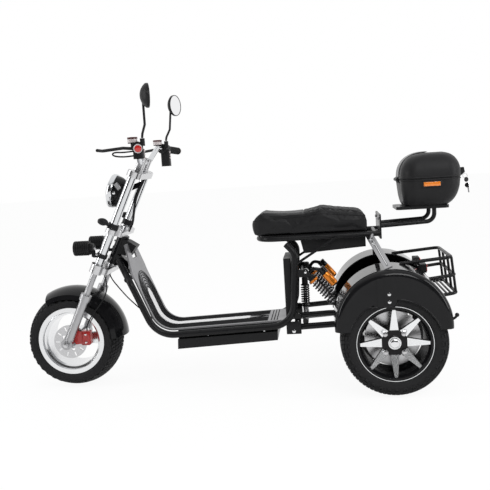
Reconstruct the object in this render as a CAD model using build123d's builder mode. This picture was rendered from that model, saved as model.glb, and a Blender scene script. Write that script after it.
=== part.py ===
from build123d import *
import os
from math import atan2, cos, radians, sin, tan

os.makedirs("parts", exist_ok=True)

# Frame of the model: X forward, Y to the rider's left, Z up, floor at Z = 0, millimetres.
# Each entry of SIDES is a side's name and the sign of its Y.
SIDES = (("left", 1), ("right", -1))

# Driving dimensions of the running gear
FRONT_AXLE_X = 855
WHEELBASE = 1565
REAR_AXLE_X = FRONT_AXLE_X - WHEELBASE
REAR_WHEEL_Y = 269
TYRE_RADIUS = 238.5
TYRE_HALF_WIDTH = 107.5
BEAD_HALF_WIDTH = 85
BEAD_RADIUS = 152
FLANGE_RADIUS = 168
FLANGE_WIDTH = 7
RIM_WELL_RADIUS = 130
SEAT_GAP = 0.3
RUNNING_GAP = 0.3

# Driving dimensions of the fork and steering
RAKE = 26
FORK_Y = 138
FORK_TUBE_Y = 126
STEER_OFFSET = 34
FORK_UP = Vector(-sin(radians(RAKE)), 0, cos(radians(RAKE)))
FORK_AHEAD = Vector(cos(radians(RAKE)), 0, sin(radians(RAKE)))
FORK_FOOT = Vector(FRONT_AXLE_X, 0, TYRE_RADIUS)

# Driving dimensions of the frame and body
RAIL_Y = 148
SEAT_RAIL_Y = 118
SEAT_RAIL_Z = 700
BOX_HINGE_X = -778
BOX_SEAM_Z = 944


def fork_point(along, ahead=0, y=0):
    """Point at a distance up the fork line from the front axle, and ahead of that line."""
    return FORK_FOOT + FORK_UP * along + FORK_AHEAD * ahead + Vector(0, y, 0)


def fork_deck(along, ahead=0, y=0):
    """Plane square to the fork: its X points ahead, its Y to the left."""
    return Plane(origin=fork_point(along, ahead, y), x_dir=FORK_AHEAD, z_dir=FORK_UP)


def wheel_plane(x, y):
    """Plane through a wheel's axle: its X runs along the axle, its Y out to the tread."""
    return Plane(origin=(x, y, TYRE_RADIUS), x_dir=(0, 1, 0), z_dir=(1, 0, 0))


def side_plane(y, x=0, z=0):
    """Upright plane seen from the left: its X points backwards, its Y up."""
    return Plane(origin=(x, y, z), x_dir=(-1, 0, 0), z_dir=(0, 1, 0))


def axle_line(x, y=0):
    return Axis((x, y, TYRE_RADIUS), (0, 1, 0))


def round_bar(points, radius, bend=0, mode=Mode.ADD):
    """Sweep a round bar through the points, with its corners bent, in the open part."""
    with BuildLine() as route:
        if len(points) > 2:
            FilletPolyline(*points, radius=bend)
        else:
            Line(*points)
    path = route.wire()
    with BuildSketch(Plane(origin=path @ 0, z_dir=path % 0)) as section:
        Circle(radius)
    sweep(section.sketch, path=path, mode=mode)


def cylinder_along(start, direction, length, radius, mode=Mode.ADD):
    """A plain cylinder from a start point along a direction, in the open part."""
    with BuildSketch(Plane(origin=start, z_dir=direction)) as section:
        Circle(radius)
    extrude(section.sketch, amount=length, mode=mode)


def dome_middle(edge, tip):
    """Middle point of a round dome's outline, from its edge to its tip on the axis."""
    centre = (tip**2 - edge[0] ** 2 - edge[1] ** 2) / (2 * (tip - edge[0]))
    half_angle = atan2(edge[1], edge[0] - centre) / 2
    return (centre + (tip - centre) * cos(half_angle), (tip - centre) * sin(half_angle))


# Tyres: bead, wall and tread profile turned about the axle.
# Columns: node, x and y of the wheel, half width and radius of the tread's edge, shoulder point.
TYRES = (
    ("front_tyre", FRONT_AXLE_X, 0, 90, 214, (104, 207)),
    ("rear_tyre_left", REAR_AXLE_X, REAR_WHEEL_Y, 84, 233, (102, 222)),
    ("rear_tyre_right", REAR_AXLE_X, -REAR_WHEEL_Y, 84, 233, (102, 222)),
)
for node, x, y, edge_y, edge_r, (shoulder_y, shoulder_r) in TYRES:
    wall = (
        (BEAD_HALF_WIDTH - SEAT_GAP, BEAD_RADIUS + SEAT_GAP),
        (BEAD_HALF_WIDTH - SEAT_GAP, FLANGE_RADIUS + SEAT_GAP),
        (BEAD_HALF_WIDTH + FLANGE_WIDTH + 3, FLANGE_RADIUS + 3),
        (TYRE_HALF_WIDTH, 196),
    )
    with BuildPart() as tyre:
        with BuildSketch(wheel_plane(x, y)):
            with BuildLine():
                Polyline(*[(-u, r) for u, r in reversed(wall)], *wall)
                ThreePointArc(wall[-1], (shoulder_y, shoulder_r), (edge_y, edge_r))
                ThreePointArc((edge_y, edge_r), (0, TYRE_RADIUS), (-edge_y, edge_r))
                ThreePointArc((-edge_y, edge_r), (-shoulder_y, shoulder_r), (-wall[-1][0], wall[-1][1]))
            make_face()
        revolve(axis=axle_line(x, y))
    tyre.part.label = node
    export_step(tyre.part, f"parts/{node}.step")

# Front rim: deep stepped barrel, hub and five wide spokes
FRONT_AXLE_RADIUS = 10
FRONT_HUB_RADIUS = 40
FRONT_HUB_HALF = 84
FRONT_SPOKE_FACE_Y = 40
FRONT_SPOKE_DEPTH = 26
with BuildPart() as front_rim:
    with BuildSketch(wheel_plane(FRONT_AXLE_X, 0)):
        rim_edge = BEAD_HALF_WIDTH + FLANGE_WIDTH
        half_barrel = (
            (BEAD_HALF_WIDTH, BEAD_RADIUS),
            (BEAD_HALF_WIDTH, FLANGE_RADIUS),
            (rim_edge, FLANGE_RADIUS),
            (rim_edge, 147),
            (80, 143),
            (76, 134),
            (62, RIM_WELL_RADIUS),
        )
        with BuildLine():
            Polyline(*half_barrel, *[(-u, r) for u, r in reversed(half_barrel)], close=True)
        make_face()
    revolve(axis=axle_line(FRONT_AXLE_X))
    with BuildSketch(side_plane(-FRONT_HUB_HALF, FRONT_AXLE_X, TYRE_RADIUS)):
        Circle(FRONT_HUB_RADIUS)
    extrude(amount=2 * FRONT_HUB_HALF)
    with BuildSketch(side_plane(FRONT_SPOKE_FACE_Y, FRONT_AXLE_X, TYRE_RADIUS)):
        with PolarLocations(0, 5, start_angle=18):
            with BuildLine():
                Polyline((30, -22), (RIM_WELL_RADIUS + 4, -30), (RIM_WELL_RADIUS + 4, 30), (30, 22), close=True)
            make_face()
    extrude(amount=-FRONT_SPOKE_DEPTH)
    with BuildSketch(side_plane(-FRONT_HUB_HALF, FRONT_AXLE_X, TYRE_RADIUS)):
        Circle(FRONT_AXLE_RADIUS + RUNNING_GAP)
    extrude(amount=2 * FRONT_HUB_HALF, mode=Mode.SUBTRACT)
front_rim.part.label = "front_rim"
export_step(front_rim.part, "parts/front_rim.step")

# Front brake disc: flat ring on the hub's left end, with slots
FRONT_DISC_Y = 98
FRONT_DISC_THICKNESS = 4
FRONT_DISC_RADIUS = 84
with BuildPart() as front_disc:
    with BuildSketch(side_plane(FRONT_DISC_Y, FRONT_AXLE_X, TYRE_RADIUS)):
        Circle(FRONT_DISC_RADIUS)
        Circle(FRONT_AXLE_RADIUS + 4, mode=Mode.SUBTRACT)
        with PolarLocations(66, 10):
            SlotOverall(22, 7, mode=Mode.SUBTRACT)
        with PolarLocations(38, 5):
            Circle(9, mode=Mode.SUBTRACT)
    extrude(amount=FRONT_DISC_THICKNESS)
    with BuildSketch(side_plane(FRONT_HUB_HALF, FRONT_AXLE_X, TYRE_RADIUS)):
        Circle(26)
        Circle(FRONT_AXLE_RADIUS + 4, mode=Mode.SUBTRACT)
    extrude(amount=FRONT_DISC_Y - FRONT_HUB_HALF)
front_disc.part.label = "front_disc"
export_step(front_disc.part, "parts/front_disc.step")

# Rear rims: barrel, eight slim spokes that taper to the lip, hub with four wheel nuts and a cap
REAR_STUB_RADIUS = 15
REAR_HUB_RADIUS = 62
REAR_HUB_FACE = 58
REAR_HUB_BACK = -20
SPOKE_COUNT = 8
LUG_CIRCLE_RADIUS = 57.5
for side, sign in SIDES:
    wheel_y = sign * REAR_WHEEL_Y
    rim_edge = BEAD_HALF_WIDTH + FLANGE_WIDTH
    with BuildPart() as rear_rim:
        with BuildSketch(wheel_plane(REAR_AXLE_X, wheel_y)):
            barrel = (
                (BEAD_HALF_WIDTH, BEAD_RADIUS),
                (BEAD_HALF_WIDTH, FLANGE_RADIUS),
                (rim_edge, FLANGE_RADIUS),
                (rim_edge, 155),
                (74, 146),
                (-74, 143),
                (-rim_edge, 146),
                (-rim_edge, FLANGE_RADIUS),
                (-BEAD_HALF_WIDTH, FLANGE_RADIUS),
                (-BEAD_HALF_WIDTH, BEAD_RADIUS),
            )
            with BuildLine():
                Polyline(*[(sign * u, r) for u, r in barrel], close=True)
            make_face()
        revolve(axis=axle_line(REAR_AXLE_X, wheel_y))
        with BuildSketch(side_plane(wheel_y + sign * REAR_HUB_FACE, REAR_AXLE_X, TYRE_RADIUS)):
            Circle(REAR_HUB_RADIUS)
        extrude(amount=-sign * (REAR_HUB_FACE - REAR_HUB_BACK))
        for i in range(SPOKE_COUNT):
            outwards = Vector(sin(radians(360 * i / SPOKE_COUNT)), 0, cos(radians(360 * i / SPOKE_COUNT)))
            hub_centre = Vector(REAR_AXLE_X, wheel_y + sign * 44, TYRE_RADIUS) + outwards * 50
            lip_centre = Vector(REAR_AXLE_X, wheel_y + sign * 76, TYRE_RADIUS) + outwards * 152
            with BuildSketch(Plane(origin=hub_centre, x_dir=(0, 1, 0), z_dir=outwards)):
                Rectangle(26, 40)
            with BuildSketch(Plane(origin=lip_centre, x_dir=(0, 1, 0), z_dir=outwards)):
                Rectangle(16, 14)
            loft()
        with BuildSketch(side_plane(wheel_y + sign * REAR_HUB_FACE, REAR_AXLE_X, TYRE_RADIUS)):
            with PolarLocations(LUG_CIRCLE_RADIUS, 4, start_angle=45):
                RegularPolygon(10, 6)
        extrude(amount=sign * 12)
        with BuildSketch(side_plane(wheel_y + sign * REAR_HUB_FACE, REAR_AXLE_X, TYRE_RADIUS)):
            Circle(31)
        extrude(amount=sign * 14, taper=12)
    rear_rim.part.label = f"rear_rim_{side}"
    export_step(rear_rim.part, f"parts/rear_rim_{side}.step")

    # Disc behind the spokes, with the hub's back and the stub shaft that turns in the axle housing
    with BuildPart() as rear_disc:
        with BuildSketch(side_plane(wheel_y + sign * (REAR_HUB_BACK - 8), REAR_AXLE_X, TYRE_RADIUS)):
            Circle(126)
        extrude(amount=sign * 6)
        with BuildSketch(side_plane(wheel_y + sign * REAR_HUB_BACK, REAR_AXLE_X, TYRE_RADIUS)):
            Circle(48)
        extrude(amount=-sign * 60)
        with BuildSketch(side_plane(wheel_y + sign * (REAR_HUB_BACK - 60), REAR_AXLE_X, TYRE_RADIUS)):
            Circle(REAR_STUB_RADIUS)
        extrude(amount=-sign * 60)
    rear_disc.part.label = f"rear_disc_{side}"
    export_step(rear_disc.part, f"parts/rear_disc_{side}.step")

# Front axle with its end nuts
with BuildPart() as front_axle:
    with BuildSketch(side_plane(-FORK_Y - 34, FRONT_AXLE_X, TYRE_RADIUS)):
        Circle(FRONT_AXLE_RADIUS)
    extrude(amount=2 * FORK_Y + 68)
    for side, sign in SIDES:
        with BuildSketch(side_plane(sign * (FORK_Y + 22.5), FRONT_AXLE_X, TYRE_RADIUS)):
            RegularPolygon(15, 6)
        extrude(amount=sign * 10)
front_axle.part.label = "front_axle"
export_step(front_axle.part, "parts/front_axle.step")

# Fork lowers: foot round the axle, leg and collar
LOWER_RADIUS = 22
LOWER_TOP = 236
COLLAR_RADIUS = 27
COLLAR_LENGTH = 30
STANCHION_RADIUS = 15
with BuildPart() as fork_lowers:
    for side, sign in SIDES:
        leg_y = sign * FORK_Y
        cylinder_along(fork_point(0, 0, leg_y), FORK_UP, LOWER_TOP, LOWER_RADIUS)
        cylinder_along(fork_point(LOWER_TOP, 0, leg_y), FORK_UP, COLLAR_LENGTH, COLLAR_RADIUS)
        with BuildSketch(side_plane(leg_y - 20, FRONT_AXLE_X, TYRE_RADIUS)):
            Circle(28)
        extrude(amount=40)
        with BuildSketch(side_plane(leg_y - 40, FRONT_AXLE_X, TYRE_RADIUS)):
            Circle(FRONT_AXLE_RADIUS)
        extrude(amount=80, mode=Mode.SUBTRACT)
        cylinder_along(fork_point(60, 0, leg_y), FORK_UP, 240, STANCHION_RADIUS + 0.01, mode=Mode.SUBTRACT)
fork_lowers.part.label = "fork_lowers"
export_step(fork_lowers.part, "parts/fork_lowers.step")

# Fork stanchions, from inside the lowers up into the lower crown
CROWN_BOTTOM = 384
CROWN_TOP = 428
with BuildPart() as fork_stanchions:
    for side, sign in SIDES:
        start = fork_point(62, 0, sign * FORK_Y)
        cylinder_along(start, FORK_UP, CROWN_TOP - 10 - 62, STANCHION_RADIUS)
fork_stanchions.part.label = "fork_stanchions"
export_step(fork_stanchions.part, "parts/fork_stanchions.step")

# Lower crown: two clamp rings, the bridge between them and the hollow steering stem
CROWN_RING_RADIUS = 31
BRIDGE_BOTTOM = 388
BRIDGE_TOP = 418
HEAD_BOTTOM = 430
STEM_RADIUS = 14
STEM_TOP = 590
STEM_BORE_RADIUS = 7
with BuildPart() as lower_crown:
    with BuildSketch(fork_deck(CROWN_BOTTOM)):
        with Locations((0, FORK_Y), (0, -FORK_Y)):
            Circle(CROWN_RING_RADIUS)
    extrude(amount=CROWN_TOP - CROWN_BOTTOM)
    with BuildSketch(fork_deck(BRIDGE_BOTTOM)):
        with Locations((-STEER_OFFSET * 0.6, 0)):
            RectangleRounded(64, 2 * FORK_Y, 30)
    extrude(amount=BRIDGE_TOP - BRIDGE_BOTTOM)
    with BuildSketch(fork_deck(CROWN_BOTTOM)):
        with Locations((0, FORK_Y), (0, -FORK_Y)):
            Circle(STANCHION_RADIUS + 0.01)
    extrude(amount=CROWN_TOP - CROWN_BOTTOM - 10, mode=Mode.SUBTRACT)
    stem_foot = fork_point(BRIDGE_TOP, -STEER_OFFSET)
    cylinder_along(stem_foot, FORK_UP, HEAD_BOTTOM - RUNNING_GAP - BRIDGE_TOP, 24)
    cylinder_along(stem_foot, FORK_UP, STEM_TOP - BRIDGE_TOP, STEM_RADIUS)
    cylinder_along(fork_point(BRIDGE_BOTTOM, -STEER_OFFSET), FORK_UP, 40, STEM_BORE_RADIUS, mode=Mode.SUBTRACT)
lower_crown.part.label = "lower_crown"
export_step(lower_crown.part, "parts/lower_crown.step")

# Middle yoke on top of the stem, which holds the long tubes
YOKE_BOTTOM = STEM_TOP
YOKE_TOP = YOKE_BOTTOM + 24
LONG_TUBE_RADIUS = 20.5
with BuildPart() as middle_yoke:
    with BuildSketch(fork_deck(YOKE_BOTTOM)):
        with Locations((0, FORK_TUBE_Y), (0, -FORK_TUBE_Y)):
            Circle(LONG_TUBE_RADIUS + 9)
        with Locations((-STEER_OFFSET * 0.7, 0)):
            RectangleRounded(56, 2 * FORK_TUBE_Y, 14)
        with Locations((0, FORK_TUBE_Y), (0, -FORK_TUBE_Y)):
            Circle(LONG_TUBE_RADIUS, mode=Mode.SUBTRACT)
    extrude(amount=YOKE_TOP - YOKE_BOTTOM)
    cylinder_along(fork_point(YOKE_TOP, -STEER_OFFSET), FORK_UP, 14, 19)
middle_yoke.part.label = "middle_yoke"
export_step(middle_yoke.part, "parts/middle_yoke.step")

# Long bright tubes from the lower crown up to the upper crown
LONG_TUBE_TOP = 884
with BuildPart() as fork_tubes:
    for side, sign in SIDES:
        start = fork_point(CROWN_TOP, 0, sign * FORK_TUBE_Y)
        cylinder_along(start, FORK_UP, LONG_TUBE_TOP - CROWN_TOP, LONG_TUBE_RADIUS)
fork_tubes.part.label = "fork_tubes"
export_step(fork_tubes.part, "parts/fork_tubes.step")

# Upper crown with the two posts that hold the handlebar
UPPER_CROWN_THICKNESS = 30
RISER_Y = 52
BAR_RADIUS = 12.5
BAR_LEVEL = LONG_TUBE_TOP + 74
with BuildPart() as upper_crown:
    with BuildSketch(fork_deck(LONG_TUBE_TOP)):
        with Locations((0, FORK_TUBE_Y), (0, -FORK_TUBE_Y)):
            Circle(LONG_TUBE_RADIUS + 10)
        with Locations((-8, 0)):
            RectangleRounded(58, 2 * FORK_TUBE_Y, 14)
    extrude(amount=UPPER_CROWN_THICKNESS)
    with BuildSketch(fork_deck(LONG_TUBE_TOP + UPPER_CROWN_THICKNESS)):
        with Locations((0, RISER_Y), (0, -RISER_Y)):
            RectangleRounded(40, 30, 10)
    extrude(amount=BAR_LEVEL + 20 - LONG_TUBE_TOP - UPPER_CROWN_THICKNESS)
    bar_start = fork_point(BAR_LEVEL, 0, -RISER_Y - 30)
    cylinder_along(bar_start, (0, 1, 0), 2 * RISER_Y + 60, BAR_RADIUS + 0.01, mode=Mode.SUBTRACT)
upper_crown.part.label = "upper_crown"
export_step(upper_crown.part, "parts/upper_crown.step")

# Handlebar: one bent tube, symmetric about the middle
BAR_MIDDLE = fork_point(BAR_LEVEL)
BAR_SHOULDER = Vector(412, 205, 1172)
BAR_END = Vector(353, 420, 1156)
half_bar = (
    (BAR_MIDDLE.X, RISER_Y + 34, BAR_MIDDLE.Z),
    (BAR_SHOULDER.X, BAR_SHOULDER.Y, BAR_SHOULDER.Z),
    (BAR_END.X, BAR_END.Y, BAR_END.Z),
)
with BuildPart() as handlebar:
    round_bar([(x, -y, z) for x, y, z in reversed(half_bar)] + list(half_bar), BAR_RADIUS, 24)
handlebar.part.label = "handlebar"
export_step(handlebar.part, "parts/handlebar.step")

# Grips, with the round caps on their ends
GRIP_LENGTH = 118
GRIP_RADIUS = 17.5
with BuildPart() as grips:
    for side, sign in SIDES:
        shoulder = Vector(BAR_SHOULDER.X, sign * BAR_SHOULDER.Y, BAR_SHOULDER.Z)
        end = Vector(BAR_END.X, sign * BAR_END.Y, BAR_END.Z)
        inwards = (shoulder - end).normalized()
        cylinder_along(end - inwards * 2, inwards, GRIP_LENGTH, GRIP_RADIUS)
        cylinder_along(end, inwards, GRIP_LENGTH, BAR_RADIUS + 0.01, mode=Mode.SUBTRACT)
        cylinder_along(end - inwards * 14, inwards, 12, 19)
grips.part.label = "grips"
export_step(grips.part, "parts/grips.step")

# Hand controls: switch housing, switch block under the bar, perch, lever and fluid reservoir
# Columns: sign of Y, height and lower end of the switch block.
SWITCH_BLOCKS = ((1, 44, 1114), (-1, 88, 1076))
with BuildPart() as hand_controls:
    for sign, block_height, block_foot in SWITCH_BLOCKS:
        shoulder = Vector(BAR_SHOULDER.X, sign * BAR_SHOULDER.Y, BAR_SHOULDER.Z)
        end = Vector(BAR_END.X, sign * BAR_END.Y, BAR_END.Z)
        inwards = (shoulder - end).normalized()
        housing = end + inwards * (GRIP_LENGTH + 2)
        cylinder_along(housing, inwards, 52, 26)
        with BuildSketch(Plane.XY.offset(block_foot)):
            with Locations((386, sign * 280)):
                RectangleRounded(46, 44, 9)
        extrude(amount=block_height)
        pivot = (452, sign * 300, 1166)
        round_bar([(398, sign * 285, 1160), pivot, (535, sign * 338, 1158), (540, sign * 400, 1160)], 7, 12)
        reservoir = Vector(419, sign * 250, 1186)
        cylinder_along(reservoir, (0, 0, 1), 24, 22)
        cylinder_along(reservoir - Vector(0, 0, 16), (0, 0, 1), 18, 10)
        cylinder_along((373, sign * 251, 1172), (0, 0, 1), 34, 11)
        cylinder_along(end - inwards * 20, inwards, 240, BAR_RADIUS + 0.01, mode=Mode.SUBTRACT)
hand_controls.part.label = "hand_controls"
export_step(hand_controls.part, "parts/hand_controls.step")

# Mirrors: shallow dish on a bent stem, turned a little towards the rider
MIRROR_RADIUS = 54
MIRROR_TURN = 20
with BuildPart() as mirrors:
    for side, sign in SIDES:
        centre = Vector(320, sign * 300, 1390)
        ahead = Vector(cos(radians(MIRROR_TURN)), sign * sin(radians(MIRROR_TURN)), 0)
        with BuildSketch(Plane(origin=centre, x_dir=ahead, z_dir=(ahead.Y, -ahead.X, 0))):
            with BuildLine():
                Polyline((0, 0), (0, MIRROR_RADIUS), (9, MIRROR_RADIUS))
                ThreePointArc((9, MIRROR_RADIUS), dome_middle((9, MIRROR_RADIUS), 36), (36, 0))
                Line((36, 0), (0, 0))
            make_face()
        revolve(axis=Axis(centre, ahead))
        stem = [(373, sign * 251, 1208), (370, sign * 253, 1226), (352, sign * 268, 1266), (346, sign * 292, 1364)]
        round_bar(stem, 5.5, 18)
mirrors.part.label = "mirrors"
export_step(mirrors.part, "parts/mirrors.step")

# Headlight: round bowl with a bright rim and a domed front, held by two side ears
LAMP_TILT = 13.6
LAMP_RADIUS = 80
LAMP_FACE = Vector(604, 0, 970)
LAMP_AHEAD = Vector(cos(radians(LAMP_TILT)), 0, sin(radians(LAMP_TILT)))
with BuildPart() as headlight:
    with BuildSketch(Plane(origin=LAMP_FACE, x_dir=LAMP_AHEAD, z_dir=(0, -1, 0))):
        with BuildLine():
            Polyline((-76, 0), (-74, 34))
            ThreePointArc((-74, 34), (-54, 64), (-14, LAMP_RADIUS - 2))
            Polyline((-14, LAMP_RADIUS - 2), (-12, LAMP_RADIUS + 2), (4, LAMP_RADIUS + 2), (6, LAMP_RADIUS - 6))
            ThreePointArc((6, LAMP_RADIUS - 6), dome_middle((6, LAMP_RADIUS - 6), 30), (30, 0))
            Line((30, 0), (-76, 0))
        make_face()
    revolve(axis=Axis(LAMP_FACE, LAMP_AHEAD))
    for side, sign in SIDES:
        pivot = LAMP_FACE - LAMP_AHEAD * 30
        with BuildSketch(side_plane(sign * 66, pivot.X, pivot.Z)):
            Circle(15)
        extrude(amount=sign * 26)
        with BuildSketch(side_plane(sign * 86, 0, 0)):
            with BuildLine():
                Polyline((-pivot.X, pivot.Z - 14), (-pivot.X + 96, pivot.Z + 20))
                Polyline((-pivot.X + 96, pivot.Z + 20), (-pivot.X + 96, pivot.Z + 46))
                Polyline((-pivot.X + 96, pivot.Z + 46), (-pivot.X - 10, pivot.Z + 10))
                Polyline((-pivot.X - 10, pivot.Z + 10), (-pivot.X, pivot.Z - 14))
            make_face()
        extrude(amount=sign * 5)
        cylinder_along((pivot.X - 87, sign * 88, pivot.Z + 33), (0, sign, 0), 17.4, 9)
headlight.part.label = "headlight"
export_step(headlight.part, "parts/headlight.step")

# Spotlights: two round lamps on a bar in front of the long tubes
SPOT_Y = 118
SPOT_RADIUS = 33
with BuildPart() as spotlights:
    for side, sign in SIDES:
        back = Vector(706, sign * SPOT_Y, 704)
        cylinder_along(back, (1, 0, 0), 66, SPOT_RADIUS)
        cylinder_along(back + Vector(64, 0, 0), (1, 0, 0), 10, SPOT_RADIUS + 3)
        cylinder_along(back - Vector(18, 0, 0), (1, 0, 0), 24, 22)
    round_bar([(692, -SPOT_Y, 664), (692, SPOT_Y, 664)], 8)
    for side, sign in SIDES:
        cylinder_along((692, sign * SPOT_Y, 660), (0, 0, 1), 30, 10)
        cylinder_along((692, sign * SPOT_Y, 664), (-1, 0, 0), 40, 8)
        clamp = fork_point(464, 0, sign * FORK_TUBE_Y)
        cylinder_along(clamp, FORK_UP, 20, LONG_TUBE_RADIUS + 5)
        cylinder_along(clamp - FORK_UP * 20, FORK_UP, 60, LONG_TUBE_RADIUS + 0.01, mode=Mode.SUBTRACT)
spotlights.part.label = "spotlights"
export_step(spotlights.part, "parts/spotlights.step")

# Turn signals: a stalk from each long tube and a small lamp on its end
with BuildPart() as turn_signals:
    for side, sign in SIDES:
        clamp = fork_point(YOKE_TOP + 2, 0, sign * FORK_TUBE_Y)
        cylinder_along(clamp, FORK_UP, 26, LONG_TUBE_RADIUS + 6)
        cylinder_along(clamp - FORK_UP * 4, FORK_UP, 34, LONG_TUBE_RADIUS + 0.01, mode=Mode.SUBTRACT)
        root = clamp + FORK_UP * 13 + Vector(16, sign * 18, 4)
        lamp = Vector(604, sign * 196, 832)
        cylinder_along(root, lamp - root, (lamp - root).length, 6.5)
        with BuildSketch(Plane(origin=lamp, x_dir=(1, 0, 0.3), z_dir=(0.3, 0, -1))):
            with BuildLine():
                ThreePointArc((-26, 0), (-2, 17), (24, 11))
                Polyline((24, 11), (27, 8), (27, 0), (-26, 0))
            make_face()
        revolve(axis=Axis(lamp, (1, 0, 0.3)))
turn_signals.part.label = "turn_signals"
export_step(turn_signals.part, "parts/turn_signals.step")

# Front fender: curved band that follows the tyre, with bosses to the fork lowers
FENDER_START = 62
FENDER_ARC = 116
FRONT_AXLE = Vector(FRONT_AXLE_X, 0, TYRE_RADIUS)
start_ahead = cos(radians(FENDER_START))
start_up = sin(radians(FENDER_START))
with BuildPart() as front_fender:
    with BuildSketch(Plane(origin=FRONT_AXLE, x_dir=(0, 1, 0), z_dir=(start_up, 0, -start_ahead))):
        with BuildLine():
            ThreePointArc((-102, 236), (0, 267), (102, 236))
            Line((102, 236), (112, 214))
            Line((112, 214), (108, 213))
            Line((108, 213), (99, 232))
            ThreePointArc((99, 232), (0, 263), (-99, 232))
            Line((-99, 232), (-108, 213))
            Line((-108, 213), (-112, 214))
            Line((-112, 214), (-102, 236))
        make_face()
    revolve(axis=Axis(FRONT_AXLE, (0, -1, 0)), revolution_arc=FENDER_ARC)
    for side, sign in SIDES:
        with BuildSketch(fork_deck(216, 0, sign * 112.5)):
            Rectangle(34, 11)
        extrude(amount=12)
        cylinder_along(fork_point(196, 0, sign * FORK_Y), FORK_UP, 46, LOWER_RADIUS + 0.01, mode=Mode.SUBTRACT)
front_fender.part.label = "front_fender"
export_step(front_fender.part, "parts/front_fender.step")

# Brake caliper over the front disc, bolted to the left fork lower
with BuildPart() as brake_caliper:
    with BuildSketch(side_plane(86, FRONT_AXLE_X, TYRE_RADIUS)):
        with Locations((84, 18)):
            RectangleRounded(50, 72, 10)
    extrude(amount=28)
    with BuildSketch(side_plane(FRONT_DISC_Y - 5, FRONT_AXLE_X, TYRE_RADIUS)):
        Circle(FRONT_DISC_RADIUS + 5)
    extrude(amount=FRONT_DISC_THICKNESS + 10, mode=Mode.SUBTRACT)
    with BuildSketch(side_plane(108, FRONT_AXLE_X, TYRE_RADIUS)):
        with BuildLine():
            Polyline((6, 30), (30, 62), (78, 46), (78, -8), (34, -12), close=True)
        make_face()
    extrude(amount=FORK_Y - LOWER_RADIUS - 108)
brake_caliper.part.label = "brake_caliper"
export_step(brake_caliper.part, "parts/brake_caliper.step")

# Frame rails: one bent tube a side, from the head tube down, along the floor and up to the seat
RAIL_RADIUS = 16
RAIL_BENDS = [60, 130, 110, 50]


def rail_route(sign):
    """Corner points of one frame rail."""
    y = sign * RAIL_Y
    shield = [(592, sign * 40, 625), (512, y, 525)]
    floor = [(402, y, 262), (-262, y, 292)]
    post = [(-284, y * 0.9, 632), (-244, sign * 118, 674)]
    return shield + floor + post


HEAD_TOP = 584
HEAD_RADIUS = 27
HEAD_CUP_RADIUS = 31
HEAD_CUP_DEPTH = 12
GUSSET_OUTLINE = ((440, -44), (486, -44), (474, -112), (436, -126))
with BuildPart() as head_tube:
    cylinder_along(fork_point(HEAD_BOTTOM, -STEER_OFFSET), FORK_UP, HEAD_TOP - HEAD_BOTTOM, HEAD_RADIUS)
    for along in (HEAD_BOTTOM, HEAD_TOP - HEAD_CUP_DEPTH):
        cylinder_along(fork_point(along, -STEER_OFFSET), FORK_UP, HEAD_CUP_DEPTH, HEAD_CUP_RADIUS)
    with BuildSketch(Plane.XZ.offset(-30)):
        with BuildLine():
            corners = [fork_point(along, ahead) for along, ahead in GUSSET_OUTLINE]
            Polyline(*[(corner.X, corner.Z) for corner in corners], close=True)
        make_face()
    extrude(amount=60)
    cylinder_along((532, -140, 541), (0, 1, 0), 280, 13)
    cylinder_along((532, 0, 541), Vector(44, 0, 54), 62, 11)
    for side, sign in SIDES:
        round_bar(rail_route(sign), RAIL_RADIUS, RAIL_BENDS, mode=Mode.SUBTRACT)
    cylinder_along(fork_point(HEAD_BOTTOM - 4, -STEER_OFFSET), FORK_UP, 170, STEM_RADIUS + RUNNING_GAP, mode=Mode.SUBTRACT)
head_tube.part.label = "head_tube"
export_step(head_tube.part, "parts/head_tube.step")

for side, sign in SIDES:
    with BuildPart() as frame_rail:
        round_bar(rail_route(sign), RAIL_RADIUS, RAIL_BENDS)
    frame_rail.part.label = f"frame_rail_{side}"
    export_step(frame_rail.part, f"parts/frame_rail_{side}.step")

# Footboard: plate that bends from the leg shield into the floor
FOOTBOARD_HALF = 130
SHIELD_TOP_HALF = 78
BOARD_THICKNESS = 8
NECK_BOX_HALF = 36
with BuildPart() as footboard:
    with BuildSketch(Plane.XZ.offset(-FOOTBOARD_HALF)):
        with BuildLine():
            FilletPolyline((541, 708), (500, 560), (392, 287), (-222, 315), radius=[200, 110])
            offset(amount=BOARD_THICKNESS, side=Side.LEFT)
        make_face()
    extrude(amount=2 * FOOTBOARD_HALF)
    with BuildSketch(Plane.YZ.offset(-300)):
        with BuildLine():
            half_shield = ((FOOTBOARD_HALF, 250), (FOOTBOARD_HALF, 580), (SHIELD_TOP_HALF, 720))
            Polyline(*half_shield, *[(-y, z) for y, z in reversed(half_shield)], close=True)
        make_face()
    extrude(amount=900, mode=Mode.INTERSECT)
    with BuildSketch(Plane.YZ.offset(400)):
        with Locations((0, 682)):
            Rectangle(2 * NECK_BOX_HALF + 2, 100)
    extrude(amount=200, mode=Mode.SUBTRACT)
footboard.part.label = "footboard"
export_step(footboard.part, "parts/footboard.step")

# Battery box under the floor
with BuildPart() as battery_box:
    with BuildSketch(Plane.XZ.offset(-150)):
        with BuildLine():
            Polyline((303, 195), (300, 243), (-184, 264), (-182, 222), close=True)
        make_face()
    extrude(amount=300)
    with BuildSketch(Plane.XZ.offset(-128)):
        with BuildLine():
            Polyline((300, 242), (300, 283.1), (-184, 305.2), (-184, 262), close=True)
        make_face()
    extrude(amount=256)
battery_box.part.label = "battery_box"
export_step(battery_box.part, "parts/battery_box.step")

# Panel in front of the seat posts
with BuildPart() as seat_post_panel:
    with BuildSketch(Plane.XY.offset(316)):
        with Locations((-244, 0)):
            RectangleRounded(36, 236, 6)
    extrude(amount=290)
seat_post_panel.part.label = "seat_post_panel"
export_step(seat_post_panel.part, "parts/seat_post_panel.step")

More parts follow.
